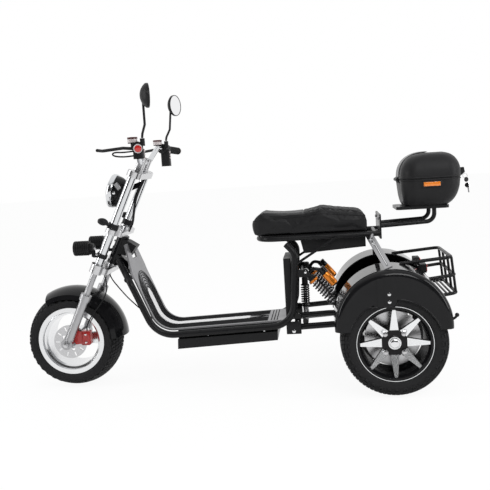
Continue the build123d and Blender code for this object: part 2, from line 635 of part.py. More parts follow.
# Black box on the neck, seated on the back of the head tube
with BuildPart() as neck_box:
    with BuildSketch(Plane.XZ.offset(-NECK_BOX_HALF)):
        with BuildLine():
            top_front = fork_point(568, -44)
            low_front = fork_point(492, -44)
            Polyline((top_front.X, top_front.Z), (540, 719), (499, 692), (541, 641), (low_front.X, low_front.Z), close=True)
        make_face()
    extrude(amount=2 * NECK_BOX_HALF)
    cylinder_along(fork_point(HEAD_BOTTOM, -STEER_OFFSET), FORK_UP, 160, HEAD_RADIUS + 0.01, mode=Mode.SUBTRACT)
neck_box.part.label = "neck_box"
export_step(neck_box.part, "parts/neck_box.step")

# Seat rails: a loop of tube with a pan on it
SEAT_RAIL_RADIUS = 12.5
RACK_PLATE_X = -683
with BuildPart() as seat_rails:
    half_loop = ((RACK_PLATE_X - 4, SEAT_RAIL_Y, 704), (-112, SEAT_RAIL_Y, SEAT_RAIL_Z))
    round_bar([*half_loop, *[(x, -y, z) for x, y, z in reversed(half_loop)]], SEAT_RAIL_RADIUS, 90)
    with BuildSketch(Plane.YZ.offset(RACK_PLATE_X)):
        with Locations((0, 704)):
            Rectangle(300, 60)
    extrude(amount=-10, mode=Mode.SUBTRACT)
    cylinder_along((-664, -SEAT_RAIL_Y, 704), (0, 1, 0), 2 * SEAT_RAIL_Y, 11)
    with BuildSketch(Plane.XY.offset(709)):
        with Locations((-366, 0)):
            RectangleRounded(490, 224, 40)
    extrude(amount=7)
seat_rails.part.label = "seat_rails"
export_step(seat_rails.part, "parts/seat_rails.step")

# Seat: long pad with a rounded nose, a dip for the rider and a raised rear
SEAT_HALF = 126
SEAT_FOOT_Z = 717
with BuildPart() as seat:
    with BuildSketch(Plane.XZ.offset(-SEAT_HALF)):
        with BuildLine():
            Polyline((-634, SEAT_FOOT_Z), (-84, SEAT_FOOT_Z), (-74, 742))
            ThreePointArc((-74, 742), (-88, 796), (-126, 827))
            Spline((-126, 827), (-200, 820), (-290, 818), (-412, 837))
            Polyline((-412, 837), (-606, 810), (-628, 798), (-634, SEAT_FOOT_Z))
        make_face()
    extrude(amount=2 * SEAT_HALF)
    with BuildSketch(Plane.XY.offset(SEAT_FOOT_Z)):
        with BuildLine():
            half_plan = ((-640, SEAT_HALF), (-300, SEAT_HALF), (-70, 112))
            Polyline(*half_plan, *[(x, -y) for x, y in reversed(half_plan)], close=True)
        outline = make_face()
        fillet(outline.vertices().group_by(Axis.X)[-1], 70)
        fillet(outline.vertices().group_by(Axis.X)[0], 24)
    extrude(amount=130, mode=Mode.INTERSECT)
seat.part.label = "seat"
export_step(seat.part, "parts/seat.step")

# Box under the seat
with BuildPart() as under_seat_box:
    with BuildSketch(Plane.XZ.offset(-92)):
        with BuildLine():
            Polyline((-312, 686), (-617, 690), (-617, 643), (-326, 624), close=True)
        make_face()
    extrude(amount=184)
under_seat_box.part.label = "under_seat_box"
export_step(under_seat_box.part, "parts/under_seat_box.step")

# Struts from the seat rails to the posts, and the hangers and cross tube that carry the shock absorbers
SHOCK_TOP = Vector(-329, 0, 540)
SHOCK_FOOT = Vector(-474, 0, 368)
SHOCK_Y = 118
SHOCK_EYE_RADIUS = 14
SHOCK_PIN_RADIUS = 7
CROSS_TUBE = Vector(-308, 0, 528.4)
with BuildPart() as seat_struts:
    cylinder_along(CROSS_TUBE - Vector(0, 134, 0), (0, 1, 0), 268, 10)
    for side, sign in SIDES:
        cylinder_along((-479, sign * 136.6, 697), Vector(171, 0, -104), 216, 6)
        with BuildSketch(side_plane(sign * 131.5, 0, 0)):
            with Locations((310, 534)):
                RectangleRounded(66, 36, 10)
        extrude(amount=sign * 4.5)
        cylinder_along(SHOCK_TOP + Vector(0, sign * 104, 0), (0, sign, 0), 30, SHOCK_PIN_RADIUS)
        round_bar(rail_route(sign), RAIL_RADIUS, RAIL_BENDS, mode=Mode.SUBTRACT)
seat_struts.part.label = "seat_struts"
export_step(seat_struts.part, "parts/seat_struts.step")

# Swing arms: two tubes a side back to the axle housing, a pivot plate in front and the shock lugs
HOUSING_HALF = 183
HOUSING_RADIUS = 26
with BuildPart() as swing_arms:
    for side, sign in SIDES:
        lower = [(-272, sign * 116, 274), (-480, sign * 124, 285), (-700, sign * 124, 246)]
        upper = [(-300, sign * 112, 331), (-462, sign * 122, 340), (-708, sign * 124, 262)]
        round_bar(lower, 15, 200)
        round_bar(upper, 13, 200)
        with BuildSketch(side_plane(sign * 118, 0, 0)):
            with Locations((282, 302)):
                RectangleRounded(30, 80, 12)
        extrude(amount=sign * 14)
        for lug_y in (101, 131.2):
            with BuildSketch(side_plane(sign * lug_y, 0, 0)):
                with Locations((-SHOCK_FOOT.X, 356)):
                    RectangleRounded(30, 54, 10)
            extrude(amount=sign * 4.5)
        cylinder_along(SHOCK_FOOT + Vector(0, sign * 102, 0), (0, sign, 0), 32, SHOCK_PIN_RADIUS)
    cylinder_along((-318, -118, 300), (0, 1, 0), 236, 14)
    axle_start = (REAR_AXLE_X, -HOUSING_HALF, TYRE_RADIUS)
    cylinder_along(axle_start, (0, 1, 0), 2 * HOUSING_HALF, HOUSING_RADIUS, mode=Mode.SUBTRACT)
swing_arms.part.label = "swing_arms"
export_step(swing_arms.part, "parts/swing_arms.step")

# Rear axle housing: tube with the drive unit in the middle, bored for the two stub shafts
with BuildPart() as axle_housing:
    cylinder_along((REAR_AXLE_X, -HOUSING_HALF, TYRE_RADIUS), (0, 1, 0), 2 * HOUSING_HALF, HOUSING_RADIUS)
    cylinder_along((REAR_AXLE_X, -95, TYRE_RADIUS), (0, 1, 0), 150, 76)
    for side, sign in SIDES:
        bore_start = (REAR_AXLE_X, sign * HOUSING_HALF, TYRE_RADIUS)
        cylinder_along(bore_start, (0, -sign, 0), 62, REAR_STUB_RADIUS + RUNNING_GAP, mode=Mode.SUBTRACT)
axle_housing.part.label = "axle_housing"
export_step(axle_housing.part, "parts/axle_housing.step")

# Shock absorbers: eyes on their pins, head, collar, spring and a separate fluid reservoir on an arm
SPRING_RADIUS = 24
RESERVOIR_OFFSET = 62
for side, sign in SIDES:
    top = SHOCK_TOP + Vector(0, sign * SHOCK_Y, 0)
    foot = SHOCK_FOOT + Vector(0, sign * SHOCK_Y, 0)
    down = (foot - top).normalized()
    behind = Vector(down.Z, 0, -down.X)
    with BuildPart() as shock:
        cylinder_along(top, down, (foot - top).length, 8)
        cylinder_along(top + down * 11, down, 37, 12.5)
        cylinder_along(top + down * 32, down, 16, 19)
        cylinder_along(top + down * 48, down, 12, 27)
        cylinder_along(top + down * 60, down, 136, SPRING_RADIUS)
        cylinder_along(top + down * 196, down, 10, 21)
        for eye in (top, foot):
            cylinder_along(eye - Vector(0, 12, 0), (0, 1, 0), 24, SHOCK_EYE_RADIUS)
        reservoir = top + down * 34 + behind * RESERVOIR_OFFSET
        cylinder_along(reservoir, down, 106, 20)
        cylinder_along(top + down * 26, (behind * RESERVOIR_OFFSET + down * 16).normalized(), 62, 9)
        for eye in (top, foot):
            cylinder_along(eye - Vector(0, 16, 0), (0, 1, 0), 32, SHOCK_PIN_RADIUS + 0.01, mode=Mode.SUBTRACT)
    shock.part.label = f"shock_{side}"
    export_step(shock.part, f"parts/shock_{side}.step")

# Upright shock near the seat post, from the swing arms' cross tube to the one between the posts
with BuildPart() as centre_shock:
    cylinder_along((-318, 0, 314.2), (-0.011, 0, 1), 190, 8)
    cylinder_along((-318.5, 0, 322), (-0.011, 0, 1), 30, 13)
    cylinder_along((-319, 0, 352), (-0.011, 0, 1), 106, 22)
    cylinder_along((-319.5, 0, 458), (-0.011, 0, 1), 36, 15)
    cylinder_along((-320, -14, 507.6), (0, 1, 0), 28, SHOCK_EYE_RADIUS)
centre_shock.part.label = "centre_shock"
export_step(centre_shock.part, "parts/centre_shock.step")

# Rear fenders: arch with a rolled outer edge, a flat skirt cut round the wheel, a bolt tab and a rib
ARCH_X = -707
ARCH_Z = 316
ARCH_RADIUS = 256
ARCH_INNER_Y = 152
ARCH_OUTER_Y = 388
ARCH_SKIN = 5
ARCH_ROLL = 30
ARCH_FOOT_Z = 304
SKIRT_INNER_RADIUS = 203
fenders = []
for side, sign in SIDES:
    with BuildPart() as rear_fender:
        with BuildSketch(side_plane(sign * ARCH_INNER_Y, ARCH_X, ARCH_Z)):
            Circle(ARCH_RADIUS)
            with Locations((0, ARCH_FOOT_Z - ARCH_Z - 1.5 * ARCH_RADIUS)):
                Rectangle(3 * ARCH_RADIUS, 3 * ARCH_RADIUS, mode=Mode.SUBTRACT)
        extrude(amount=sign * (ARCH_OUTER_Y - ARCH_INNER_Y))
        outer_face = rear_fender.faces().filter_by(Axis.Y).sort_by(Axis.Y)[-1 if sign > 0 else 0]
        fillet(outer_face.edges().filter_by(GeomType.CIRCLE), ARCH_ROLL)
        inner_face = rear_fender.faces().filter_by(Axis.Y).sort_by(Axis.Y)[0 if sign > 0 else -1]
        foot_face = rear_fender.faces().filter_by(Axis.Z).sort_by(Axis.Z)[0]
        offset(amount=-ARCH_SKIN, openings=[inner_face, foot_face])
        with BuildSketch(side_plane(sign * (ARCH_OUTER_Y - 12), REAR_AXLE_X, TYRE_RADIUS)):
            Circle(SKIRT_INNER_RADIUS)
        extrude(amount=sign * 20, mode=Mode.SUBTRACT)
        with BuildSketch(side_plane(sign * ARCH_OUTER_Y, 0, 0)):
            with BuildLine():
                Polyline((614, 456), (626, 412), (716, 412), (726, 456), close=True)
            make_face()
        extrude(amount=-sign * ARCH_SKIN)
        with BuildSketch(side_plane(sign * ARCH_OUTER_Y, 0, 0)):
            with Locations((652, 475)):
                RectangleRounded(26, 126, 5)
        extrude(amount=sign * 3)
    fenders.append(rear_fender.part)
    rear_fender.part.label = f"rear_fender_{side}"
    export_step(rear_fender.part, f"parts/rear_fender_{side}.step")

# Fender stays: flat bars from the seat rails out to the fenders' rolled edges
with BuildPart() as fender_stays:
    for side, sign in SIDES:
        inner = Vector(-640, sign * 140, 684)
        outer = Vector(-694, sign * 364, 577)
        along = (outer - inner).normalized()
        with BuildSketch(Plane(origin=inner, x_dir=(1, 0, -0.36), z_dir=along)):
            Rectangle(34, 8)
        extrude(amount=(outer - inner).length)
        cylinder_along((-646, sign * 124, 699), Vector(6, sign * 18, -16), 26, 9)
        rail_start = (-720, sign * SEAT_RAIL_Y, 704.26)
        cylinder_along(rail_start, Vector(571, 0, -4), 140, SEAT_RAIL_RADIUS + 0.01, mode=Mode.SUBTRACT)
    for fender in fenders:
        add(fender, mode=Mode.SUBTRACT)
fender_stays.part.label = "fender_stays"
export_step(fender_stays.part, "parts/fender_stays.step")

# Carrier basket behind the fenders: three hoops welded to them, uprights and floor slats
BASKET_Y = 180
BASKET_BAR = 8
# Columns: x and z of a hoop's front end, x and z of its rear bar, bend radius.
BASKET_HOOPS = (
    (-760, 566, -992, 586, 30),
    (-872, 488, -1004, 504, 24),
    (-926, 409, -1010, 422, 24),
)
with BuildPart() as basket:
    for front_x, front_z, rear_x, rear_z, bend in BASKET_HOOPS:
        half_hoop = ((front_x, BASKET_Y, front_z), (rear_x, BASKET_Y, rear_z))
        round_bar([*half_hoop, *[(x, -y, z) for x, y, z in reversed(half_hoop)]], BASKET_BAR, bend)
    for y in (-172, -60, 60, 172):
        round_bar([(-1008, y, 422), (-992, y, 586)], 6)
    for x, z in ((-952, 412), (-970, 415), (-988, 418)):
        cylinder_along((x, -BASKET_Y, z), (0, 1, 0), 2 * BASKET_Y, 5)
    for side, sign in SIDES:
        with BuildSketch(side_plane(sign * ARCH_INNER_Y, ARCH_X, ARCH_Z)):
            Circle(ARCH_RADIUS)
        extrude(amount=sign * (ARCH_OUTER_Y - ARCH_INNER_Y), mode=Mode.SUBTRACT)
basket.part.label = "basket"
export_step(basket.part, "parts/basket.step")

# Rack for the tail box: bolted plate, two bent tubes and the base plate
with BuildPart() as box_rack:
    with BuildSketch(Plane.YZ.offset(RACK_PLATE_X - 7)):
        with Locations((0, 734)):
            RectangleRounded(240, 114, 10)
            with GridLocations(150, 74, 2, 2):
                Circle(4.25, mode=Mode.SUBTRACT)
    extrude(amount=7)
    for side, sign in SIDES:
        round_bar([(-688, sign * 86, 735), (-936, sign * 86, 746), (-936, sign * 86, 806)], 10, 38)
    with BuildSketch(Plane.XY.offset(805)):
        with Locations((-884, 0)):
            RectangleRounded(240, 214, 24)
    extrude(amount=14)
box_rack.part.label = "box_rack"
export_step(box_rack.part, "parts/box_rack.step")

# Tail box: open tub and hinged lid, both lofted shells with a flat floor and a domed top
BOX_WALL = 4
HINGE_RADIUS = 7
HINGE_PIN_RADIUS = 3
HINGE_INNER_Y = 30
HINGE_OUTER_Y = 52
# Columns: height, front x, rear x, half width and corner radius of each level.
TUB_LEVELS = (
    (819, -808, -996, 104, 40),
    (836, -799, -1020, 128, 52),
    (872, -792, -1043, 147, 62),
    (910, -788, -1053, 155, 66),
    (944, -786, -1056, 158, 68),
)
LID_LEVELS = (
    (945, -786, -1056, 158, 68),
    (976, -788, -1058, 157, 68),
    (1010, -798, -1051, 149, 66),
    (1038, -820, -1034, 131, 60),
    (1054, -850, -1012, 106, 50),
    (1062, -890, -986, 66, 32),
)


def box_loft(levels, mode=Mode.ADD):
    """Loft a rounded box through its levels, in the open part."""
    sections = []
    for z, front_x, rear_x, half_width, corner in levels:
        with BuildSketch(Plane.XY.offset(z)) as section:
            with Locations(((front_x + rear_x) / 2, 0)):
                RectangleRounded(front_x - rear_x, 2 * half_width, corner)
        sections.append(section.sketch)
    loft(sections, mode=mode)


def inner_levels(levels, lift):
    """The same levels inside the wall, each moved up or down a little."""
    return [(z + lift, front_x - BOX_WALL, rear_x + BOX_WALL, half - BOX_WALL, corner - BOX_WALL)
            for z, front_x, rear_x, half, corner in levels]


with BuildPart() as tail_box:
    box_loft(TUB_LEVELS)
    box_loft(inner_levels(TUB_LEVELS, BOX_WALL), mode=Mode.SUBTRACT)
    for side, sign in SIDES:
        knuckle_start = (BOX_HINGE_X, sign * HINGE_INNER_Y, BOX_SEAM_Z)
        cylinder_along(knuckle_start, (0, sign, 0), HINGE_OUTER_Y - HINGE_INNER_Y, HINGE_RADIUS)
        with BuildSketch(side_plane(sign * HINGE_INNER_Y, BOX_HINGE_X, BOX_SEAM_Z)):
            with BuildLine():
                Polyline((0, 0), (0, -HINGE_RADIUS), (10, -22), (10, 0), close=True)
            make_face()
        extrude(amount=sign * (HINGE_OUTER_Y - HINGE_INNER_Y))
    cylinder_along((BOX_HINGE_X, -HINGE_OUTER_Y, BOX_SEAM_Z), (0, 1, 0), 2 * HINGE_OUTER_Y, HINGE_PIN_RADIUS)
tail_box.part.label = "tail_box"
export_step(tail_box.part, "parts/tail_box.step")

with BuildPart() as box_lid:
    box_loft(LID_LEVELS)
    box_loft(inner_levels(LID_LEVELS, -BOX_WALL), mode=Mode.SUBTRACT)
    lid_hinge_y = HINGE_INNER_Y - RUNNING_GAP
    cylinder_along((BOX_HINGE_X, -lid_hinge_y, BOX_SEAM_Z), (0, 1, 0), 2 * lid_hinge_y, HINGE_RADIUS)
    with BuildSketch(side_plane(-lid_hinge_y, BOX_HINGE_X, BOX_SEAM_Z)):
        with BuildLine():
            Polyline((0, 1), (0, HINGE_RADIUS), (10.5, 20), (10.5, 1), close=True)
        make_face()
    extrude(amount=2 * lid_hinge_y)
    pin_bore = HINGE_PIN_RADIUS + RUNNING_GAP
    cylinder_along((BOX_HINGE_X, -40, BOX_SEAM_Z), (0, 1, 0), 80, pin_bore, mode=Mode.SUBTRACT)
box_lid.part.label = "box_lid"
export_step(box_lid.part, "parts/box_lid.step")

# Latch on the lid's rear edge
with BuildPart() as box_latch:
    with BuildSketch(Plane.XZ.offset(-20)):
        with BuildLine():
            Polyline((-1058.4, 952), (-1078, 948), (-1092, 962), (-1088, 984), (-1058.4, 982), close=True)
        make_face()
    extrude(amount=40)
box_latch.part.label = "box_latch"
export_step(box_latch.part, "parts/box_latch.step")

# Rear lamps beside the fenders' inner edges
with BuildPart() as rear_lamps:
    for side, sign in SIDES:
        with BuildSketch(Plane.YZ.offset(-884)):
            with Locations((sign * 116, 534)):
                RectangleRounded(76, 40, 8)
        extrude(amount=28)
        with BuildSketch(side_plane(sign * ARCH_INNER_Y, ARCH_X, ARCH_Z)):
            Circle(ARCH_RADIUS)
        extrude(amount=sign * (ARCH_OUTER_Y - ARCH_INNER_Y), mode=Mode.SUBTRACT)
rear_lamps.part.label = "rear_lamps"
export_step(rear_lamps.part, "parts/rear_lamps.step")


def cable_bends(points):
    """Radius at each corner of a cable, as large as the shorter run beside it allows."""
    bends = []
    for before, corner, after in zip(points, points[1:], points[2:]):
        run_in = Vector(*corner) - Vector(*before)
        run_out = Vector(*after) - Vector(*corner)
        half_turn = radians(run_in.get_angle(run_out) / 2)
        bends.append(0.45 * min(run_in.length, run_out.length) / tan(half_turn))
    return bends


# Wiring from the hollow stem back under the leg shield to the battery box
CABLE_RADIUS = 3
stem_exit = fork_point(374, -STEER_OFFSET)
stem_inside = fork_point(404, -STEER_OFFSET)
WIRING_ROUTE = (
    (stem_inside.X, 0, stem_inside.Z),
    (stem_exit.X, 0, stem_exit.Z),
    (646, 0, 524),
    (616, 0, 483),
    (578, 0, 434),
    (535, 0, 390),
    (472, 0, 330),
    (408, 0, 285),
    (352, 0, 262),
    (300, 0, 262),
)
with BuildPart() as frame_cable:
    round_bar(WIRING_ROUTE, CABLE_RADIUS, cable_bends(WIRING_ROUTE))
frame_cable.part.label = "frame_cable"
export_step(frame_cable.part, "parts/frame_cable.step")

# Hoses that turn with the fork: front brake hose to the caliper and the loom behind the long tubes
HOSE_RADIUS = 3
LOOM_RADIUS = 6
BRAKE_HOSE_ROUTE = (
    (655, 100, 572),
    (645, 104, 536),
    (642, 112, 494),
    (662, 120, 446),
    (702, 123, 398),
    (742, 119, 350),
    (762, 106, 314),
    (766, 100, 291),
)
loom_start = fork_point(LONG_TUBE_TOP, -30)
loom_end = fork_point(YOKE_TOP - 4, -51)
LOOM_ROUTE = (
    (loom_start.X, 0, loom_start.Z),
    (466, 0, 978),
    (494, 0, 922),
    (507, 0, 862),
    (517, 0, 806),
    (loom_end.X, 0, loom_end.Z),
)
with BuildPart() as fork_hoses:
    round_bar(BRAKE_HOSE_ROUTE, HOSE_RADIUS, cable_bends(BRAKE_HOSE_ROUTE))
    round_bar(LOOM_ROUTE, LOOM_RADIUS, cable_bends(LOOM_ROUTE))
    for holder in (lower_crown, brake_caliper, middle_yoke, upper_crown):
        add(holder.part, mode=Mode.SUBTRACT)
fork_hoses.part.label = "fork_hoses"
export_step(fork_hoses.part, "parts/fork_hoses.step")
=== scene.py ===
from math import atan2, cos, pi, radians, sin, sqrt, tan

import bpy
from mathutils import Matrix, Vector


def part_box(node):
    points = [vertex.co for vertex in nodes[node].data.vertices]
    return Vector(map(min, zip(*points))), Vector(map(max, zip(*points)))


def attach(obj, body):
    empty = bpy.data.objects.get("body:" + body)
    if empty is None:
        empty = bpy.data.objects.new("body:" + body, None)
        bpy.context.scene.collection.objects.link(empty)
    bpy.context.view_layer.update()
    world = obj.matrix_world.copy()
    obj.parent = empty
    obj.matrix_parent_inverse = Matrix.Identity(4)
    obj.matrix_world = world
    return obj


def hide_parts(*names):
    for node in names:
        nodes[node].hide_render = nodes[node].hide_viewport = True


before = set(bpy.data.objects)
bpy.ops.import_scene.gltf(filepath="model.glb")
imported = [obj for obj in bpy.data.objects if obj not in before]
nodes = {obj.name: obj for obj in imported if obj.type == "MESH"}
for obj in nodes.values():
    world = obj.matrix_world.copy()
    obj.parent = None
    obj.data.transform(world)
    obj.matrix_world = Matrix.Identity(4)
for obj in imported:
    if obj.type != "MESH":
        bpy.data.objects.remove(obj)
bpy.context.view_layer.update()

# Studio: a camera on the scooter's left at bonnet height, level with the photograph's own view.
# Its place, turn and lens were solved from the wheels, the floor and the handlebar in the photograph.
CAMERA_PLACE = Vector((-0.4223, 3.4096, 1.0608))
CAMERA_YAW = 0.1126
CAMERA_PITCH = 0.1143
CAMERA_ROLL = -0.0630
LENS = 51.65
look = Vector((sin(CAMERA_YAW) * cos(CAMERA_PITCH), -cos(CAMERA_YAW) * cos(CAMERA_PITCH), -sin(CAMERA_PITCH)))
level_right = look.cross(Vector((0, 0, 1))).normalized()
level_up = level_right.cross(look)
right = level_right * cos(CAMERA_ROLL) + level_up * sin(CAMERA_ROLL)
up = level_up * cos(CAMERA_ROLL) - level_right * sin(CAMERA_ROLL)
bpy.ops.object.camera_add()
camera = bpy.context.object
turn = Matrix((right, up, -look)).transposed()
camera.matrix_world = Matrix.Translation(CAMERA_PLACE) @ turn.to_4x4()
camera.data.lens = LENS
camera.data.sensor_width = 36
scene = bpy.context.scene
scene.camera = camera
scene.view_settings.view_transform = "Standard"

FLOOR_RADIUS = 30
FLOOR_PAINT = (0.72, 0.72, 0.72, 1)
FLOOR_ROUGHNESS = 0.9
GLOW_STRENGTH = 1.035
GLOW_SHARE = 0.90
bpy.ops.mesh.primitive_circle_add(vertices=96, radius=FLOOR_RADIUS, fill_type="NGON")
floor = bpy.context.object
floor.name = "studio_floor"


def new_material(name):
    """An empty node material and its shader, with a place to add nodes."""
    material = bpy.data.materials.new(name)
    material.use_nodes = True
    return material, material.node_tree, material.node_tree.nodes["Principled BSDF"]


def joined(tree, operation, *values):
    """A Math node of this material with its inputs linked or set, and its result."""
    node = tree.nodes.new("ShaderNodeMath")
    node.operation = operation
    for socket, value in zip(node.inputs, values):
        if hasattr(value, "links"):
            tree.links.new(value, socket)
        else:
            socket.default_value = value
    return node.outputs["Value"]


floor_paint, tree, shader = new_material("floor paint")
shader.inputs["Base Color"].default_value = FLOOR_PAINT
shader.inputs["Roughness"].default_value = FLOOR_ROUGHNESS
glow = tree.nodes.new("ShaderNodeEmission")
glow.inputs["Color"].default_value = (1, 1, 1, 1)
glow.inputs["Strength"].default_value = GLOW_STRENGTH
rays = tree.nodes.new("ShaderNodeLightPath").outputs
seen = joined(tree, "MAXIMUM", rays["Is Camera Ray"], rays["Is Glossy Ray"])
seen = joined(tree, "MAXIMUM", seen, rays["Is Transmission Ray"])
mix = tree.nodes.new("ShaderNodeMixShader")
tree.links.new(joined(tree, "MULTIPLY", seen, GLOW_SHARE), mix.inputs["Fac"])
tree.links.new(shader.outputs["BSDF"], mix.inputs[1])
tree.links.new(glow.outputs["Emission"], mix.inputs[2])
tree.links.new(mix.outputs["Shader"], tree.nodes["Material Output"].inputs["Surface"])
floor.data.materials.append(floor_paint)

# Room: dark on the camera's side, light behind the scooter and bright overhead. The camera itself sees plain white.
SIDE_DARK = 0.03
SIDE_LIGHT = 0.75
TOP_LIGHT = 0.9
world = bpy.data.worlds.new("studio")
world.use_nodes = True
scene.world = world
tree = world.node_tree
way = tree.nodes.new("ShaderNodeTexCoord")
parts = tree.nodes.new("ShaderNodeSeparateXYZ")
tree.links.new(way.outputs["Generated"], parts.inputs["Vector"])
ramps = []
# Columns: part of the direction, where the ramp starts and ends, and its values there.
for part, *ends in (("Y", 0.45, -0.35, SIDE_DARK, SIDE_LIGHT), ("Z", 0.55, 0.85, 0.0, TOP_LIGHT)):
    ramp = tree.nodes.new("ShaderNodeMapRange")
    for socket_name, end in zip(("From Min", "From Max", "To Min", "To Max"), ends):
        ramp.inputs[socket_name].default_value = end
    tree.links.new(parts.outputs[part], ramp.inputs["Value"])
    ramps.append(ramp.outputs["Result"])
side_light, top_light = ramps
room = tree.nodes["Background"]
room.inputs["Color"].default_value = (1, 1, 1, 1)
tree.links.new(joined(tree, "MAXIMUM", side_light, top_light), room.inputs["Strength"])
white = tree.nodes.new("ShaderNodeBackground")
white.inputs["Color"].default_value = (1, 1, 1, 1)
white.inputs["Strength"].default_value = 1.0
rays = tree.nodes.new("ShaderNodeLightPath").outputs
mirrored = joined(tree, "MULTIPLY", rays["Is Glossy Ray"], side_light)
seen = joined(tree, "MAXIMUM", rays["Is Camera Ray"], rays["Is Transmission Ray"])
mix = tree.nodes.new("ShaderNodeMixShader")
tree.links.new(joined(tree, "MAXIMUM", seen, mirrored), mix.inputs["Fac"])
tree.links.new(room.outputs["Background"], mix.inputs[1])
tree.links.new(white.outputs["Background"], mix.inputs[2])
tree.links.new(mix.outputs["Shader"], tree.nodes["World Output"].inputs["Surface"])

# Columns: name, place, what it points at, size and power of each soft box.
SOFT_BOXES = (
    ("key_box", (-1.6, 3.2, 3.0), (0, 0, 0.5), (2.2, 1.4), 60),
    ("front_box", (3.4, 1.2, 1.8), (0.4, 0, 0.6), (0.8, 2.4), 38),
    ("rear_box", (-3.4, 1.0, 1.6), (-0.6, 0, 0.5), (0.8, 2.2), 30),
)
for name, place, target, (width, height), power in SOFT_BOXES:
    bpy.ops.object.light_add(type="AREA", location=place)
    lamp = bpy.context.object
    lamp.name = name
    lamp.data.shape = "RECTANGLE"
    lamp.data.size = width
    lamp.data.size_y = height
    lamp.data.energy = power
    aim = Vector(target) - Vector(place)
    lamp.rotation_euler = aim.to_track_quat("-Z", "Y").to_euler()

# Tyres: black rubber carcasses with a ring of moulded tread blocks, held on the rims by their beads.
# Each is one turned shell, whose tread faces are inset and raised into blocks that slant back to a point.
WHEEL_HEIGHT = 0.2385
FRONT_AXLE_X = 0.855
REAR_AXLE_X = -0.710
REAR_WHEEL_Y = 0.269
TREAD_STEPS = 72
TREAD_DEPTH = 0.0055
TREAD_GAP = 0.0021
TREAD_SLANT = 1.3
# The finish: a fine bump over patches of gloss, shared by all the plain finishes.
PATCHES_PER_METRE = 14
DARK_SHINE = 0.16
DARK_BELOW = 0.1
COAT_ROUGHNESS = 0.04


def start_group(name, inputs, outputs):
    """An empty shader group with its sockets. Inputs are name, kind and default value."""
    group = bpy.data.node_groups.new(name, "ShaderNodeTree")
    for socket_name, kind, value in inputs:
        socket = group.interface.new_socket(socket_name, in_out="INPUT", socket_type=kind)
        socket.default_value = value
    for socket_name, kind in outputs:
        group.interface.new_socket(socket_name, in_out="OUTPUT", socket_type=kind)
    entry = group.nodes.new("NodeGroupInput")
    leave = group.nodes.new("NodeGroupOutput")
    return group, entry, leave


fine_surface, entry, leave = start_group(
    "fine surface",
    (
        ("Gloss low", "NodeSocketFloat", 0.2),
        ("Gloss high", "NodeSocketFloat", 0.3),
        ("Grain per metre", "NodeSocketFloat", 900.0),
        ("Grain depth", "NodeSocketFloat", 0.1),
        ("Dark", "NodeSocketColor", (0.5, 0.5, 0.5, 1)),
        ("Light", "NodeSocketColor", (0.5, 0.5, 0.5, 1)),
    ),
    (("Color", "NodeSocketColor"), ("Roughness", "NodeSocketFloat"), ("Normal", "NodeSocketVector")),
)
place = fine_surface.nodes.new("ShaderNodeTexCoord")
patches = fine_surface.nodes.new("ShaderNodeTexNoise")
patches.inputs["Scale"].default_value = PATCHES_PER_METRE
patches.inputs["Detail"].default_value = 5
gloss = fine_surface.nodes.new("ShaderNodeMapRange")
gloss.inputs["From Min"].default_value = 0.35
gloss.inputs["From Max"].default_value = 0.65
colour = fine_surface.nodes.new("ShaderNodeMix")
colour.data_type = "RGBA"
grain = fine_surface.nodes.new("ShaderNodeTexNoise")
grain.inputs["Detail"].default_value = 2
bump = fine_surface.nodes.new("ShaderNodeBump")
bump.inputs["Distance"].default_value = 0.0004
links = fine_surface.links
links.new(place.outputs["Object"], patches.inputs["Vector"])
links.new(place.outputs["Object"], grain.inputs["Vector"])
links.new(patches.outputs["Fac"], gloss.inputs["Value"])
links.new(entry.outputs["Gloss low"], gloss.inputs["To Min"])
links.new(entry.outputs["Gloss high"], gloss.inputs["To Max"])
links.new(patches.outputs["Fac"], colour.inputs["Factor"])
links.new(entry.outputs["Dark"], colour.inputs["A"])
links.new(entry.outputs["Light"], colour.inputs["B"])
links.new(entry.outputs["Grain per metre"], grain.inputs["Scale"])
links.new(grain.outputs["Fac"], bump.inputs["Height"])
links.new(entry.outputs["Grain depth"], bump.inputs["Strength"])
links.new(colour.outputs["Result"], leave.inputs["Color"])
links.new(gloss.outputs["Result"], leave.inputs["Roughness"])
links.new(bump.outputs["Normal"], leave.inputs["Normal"])


def finish_material(name, dark, light, gloss, metallic=0.0, grain=(900, 0.1), coat=0.0, pebbles=None):
    """A finish from its dark and light tone, its range of roughness and its grain."""
    material, tree, shader = new_material(name)
    surface = tree.nodes.new("ShaderNodeGroup")
    surface.node_tree = fine_surface
    surface.inputs["Dark"].default_value = (*dark, 1)
    surface.inputs["Light"].default_value = (*light, 1)
    surface.inputs["Gloss low"].default_value = gloss[0]
    surface.inputs["Gloss high"].default_value = gloss[1]
    surface.inputs["Grain per metre"].default_value = grain[0]
    surface.inputs["Grain depth"].default_value = grain[1]
    tree.links.new(surface.outputs["Color"], shader.inputs["Base Color"])
    tree.links.new(surface.outputs["Roughness"], shader.inputs["Roughness"])
    if pebbles:
        cells = tree.nodes.new("ShaderNodeGroup")
        cells.node_tree = pebble_grain
        cells.inputs["Pebbles per metre"].default_value = pebbles[0]
        cells.inputs["Depth"].default_value = pebbles[1]
        tree.links.new(cells.outputs["Normal"], shader.inputs["Normal"])
    else:
        tree.links.new(surface.outputs["Normal"], shader.inputs["Normal"])
    shader.inputs["Metallic"].default_value = metallic
    if light[0] < DARK_BELOW:
        shader.inputs["Specular IOR Level"].default_value = DARK_SHINE
    if coat:
        shader.inputs["Coat Weight"].default_value = coat
        shader.inputs["Coat Roughness"].default_value = COAT_ROUGHNESS
    return material


tyre_rubber = finish_material(
    "tyre rubber", (0.013, 0.013, 0.014), (0.028, 0.028, 0.029), (0.62, 0.8), grain=(1500, 0.5),
)


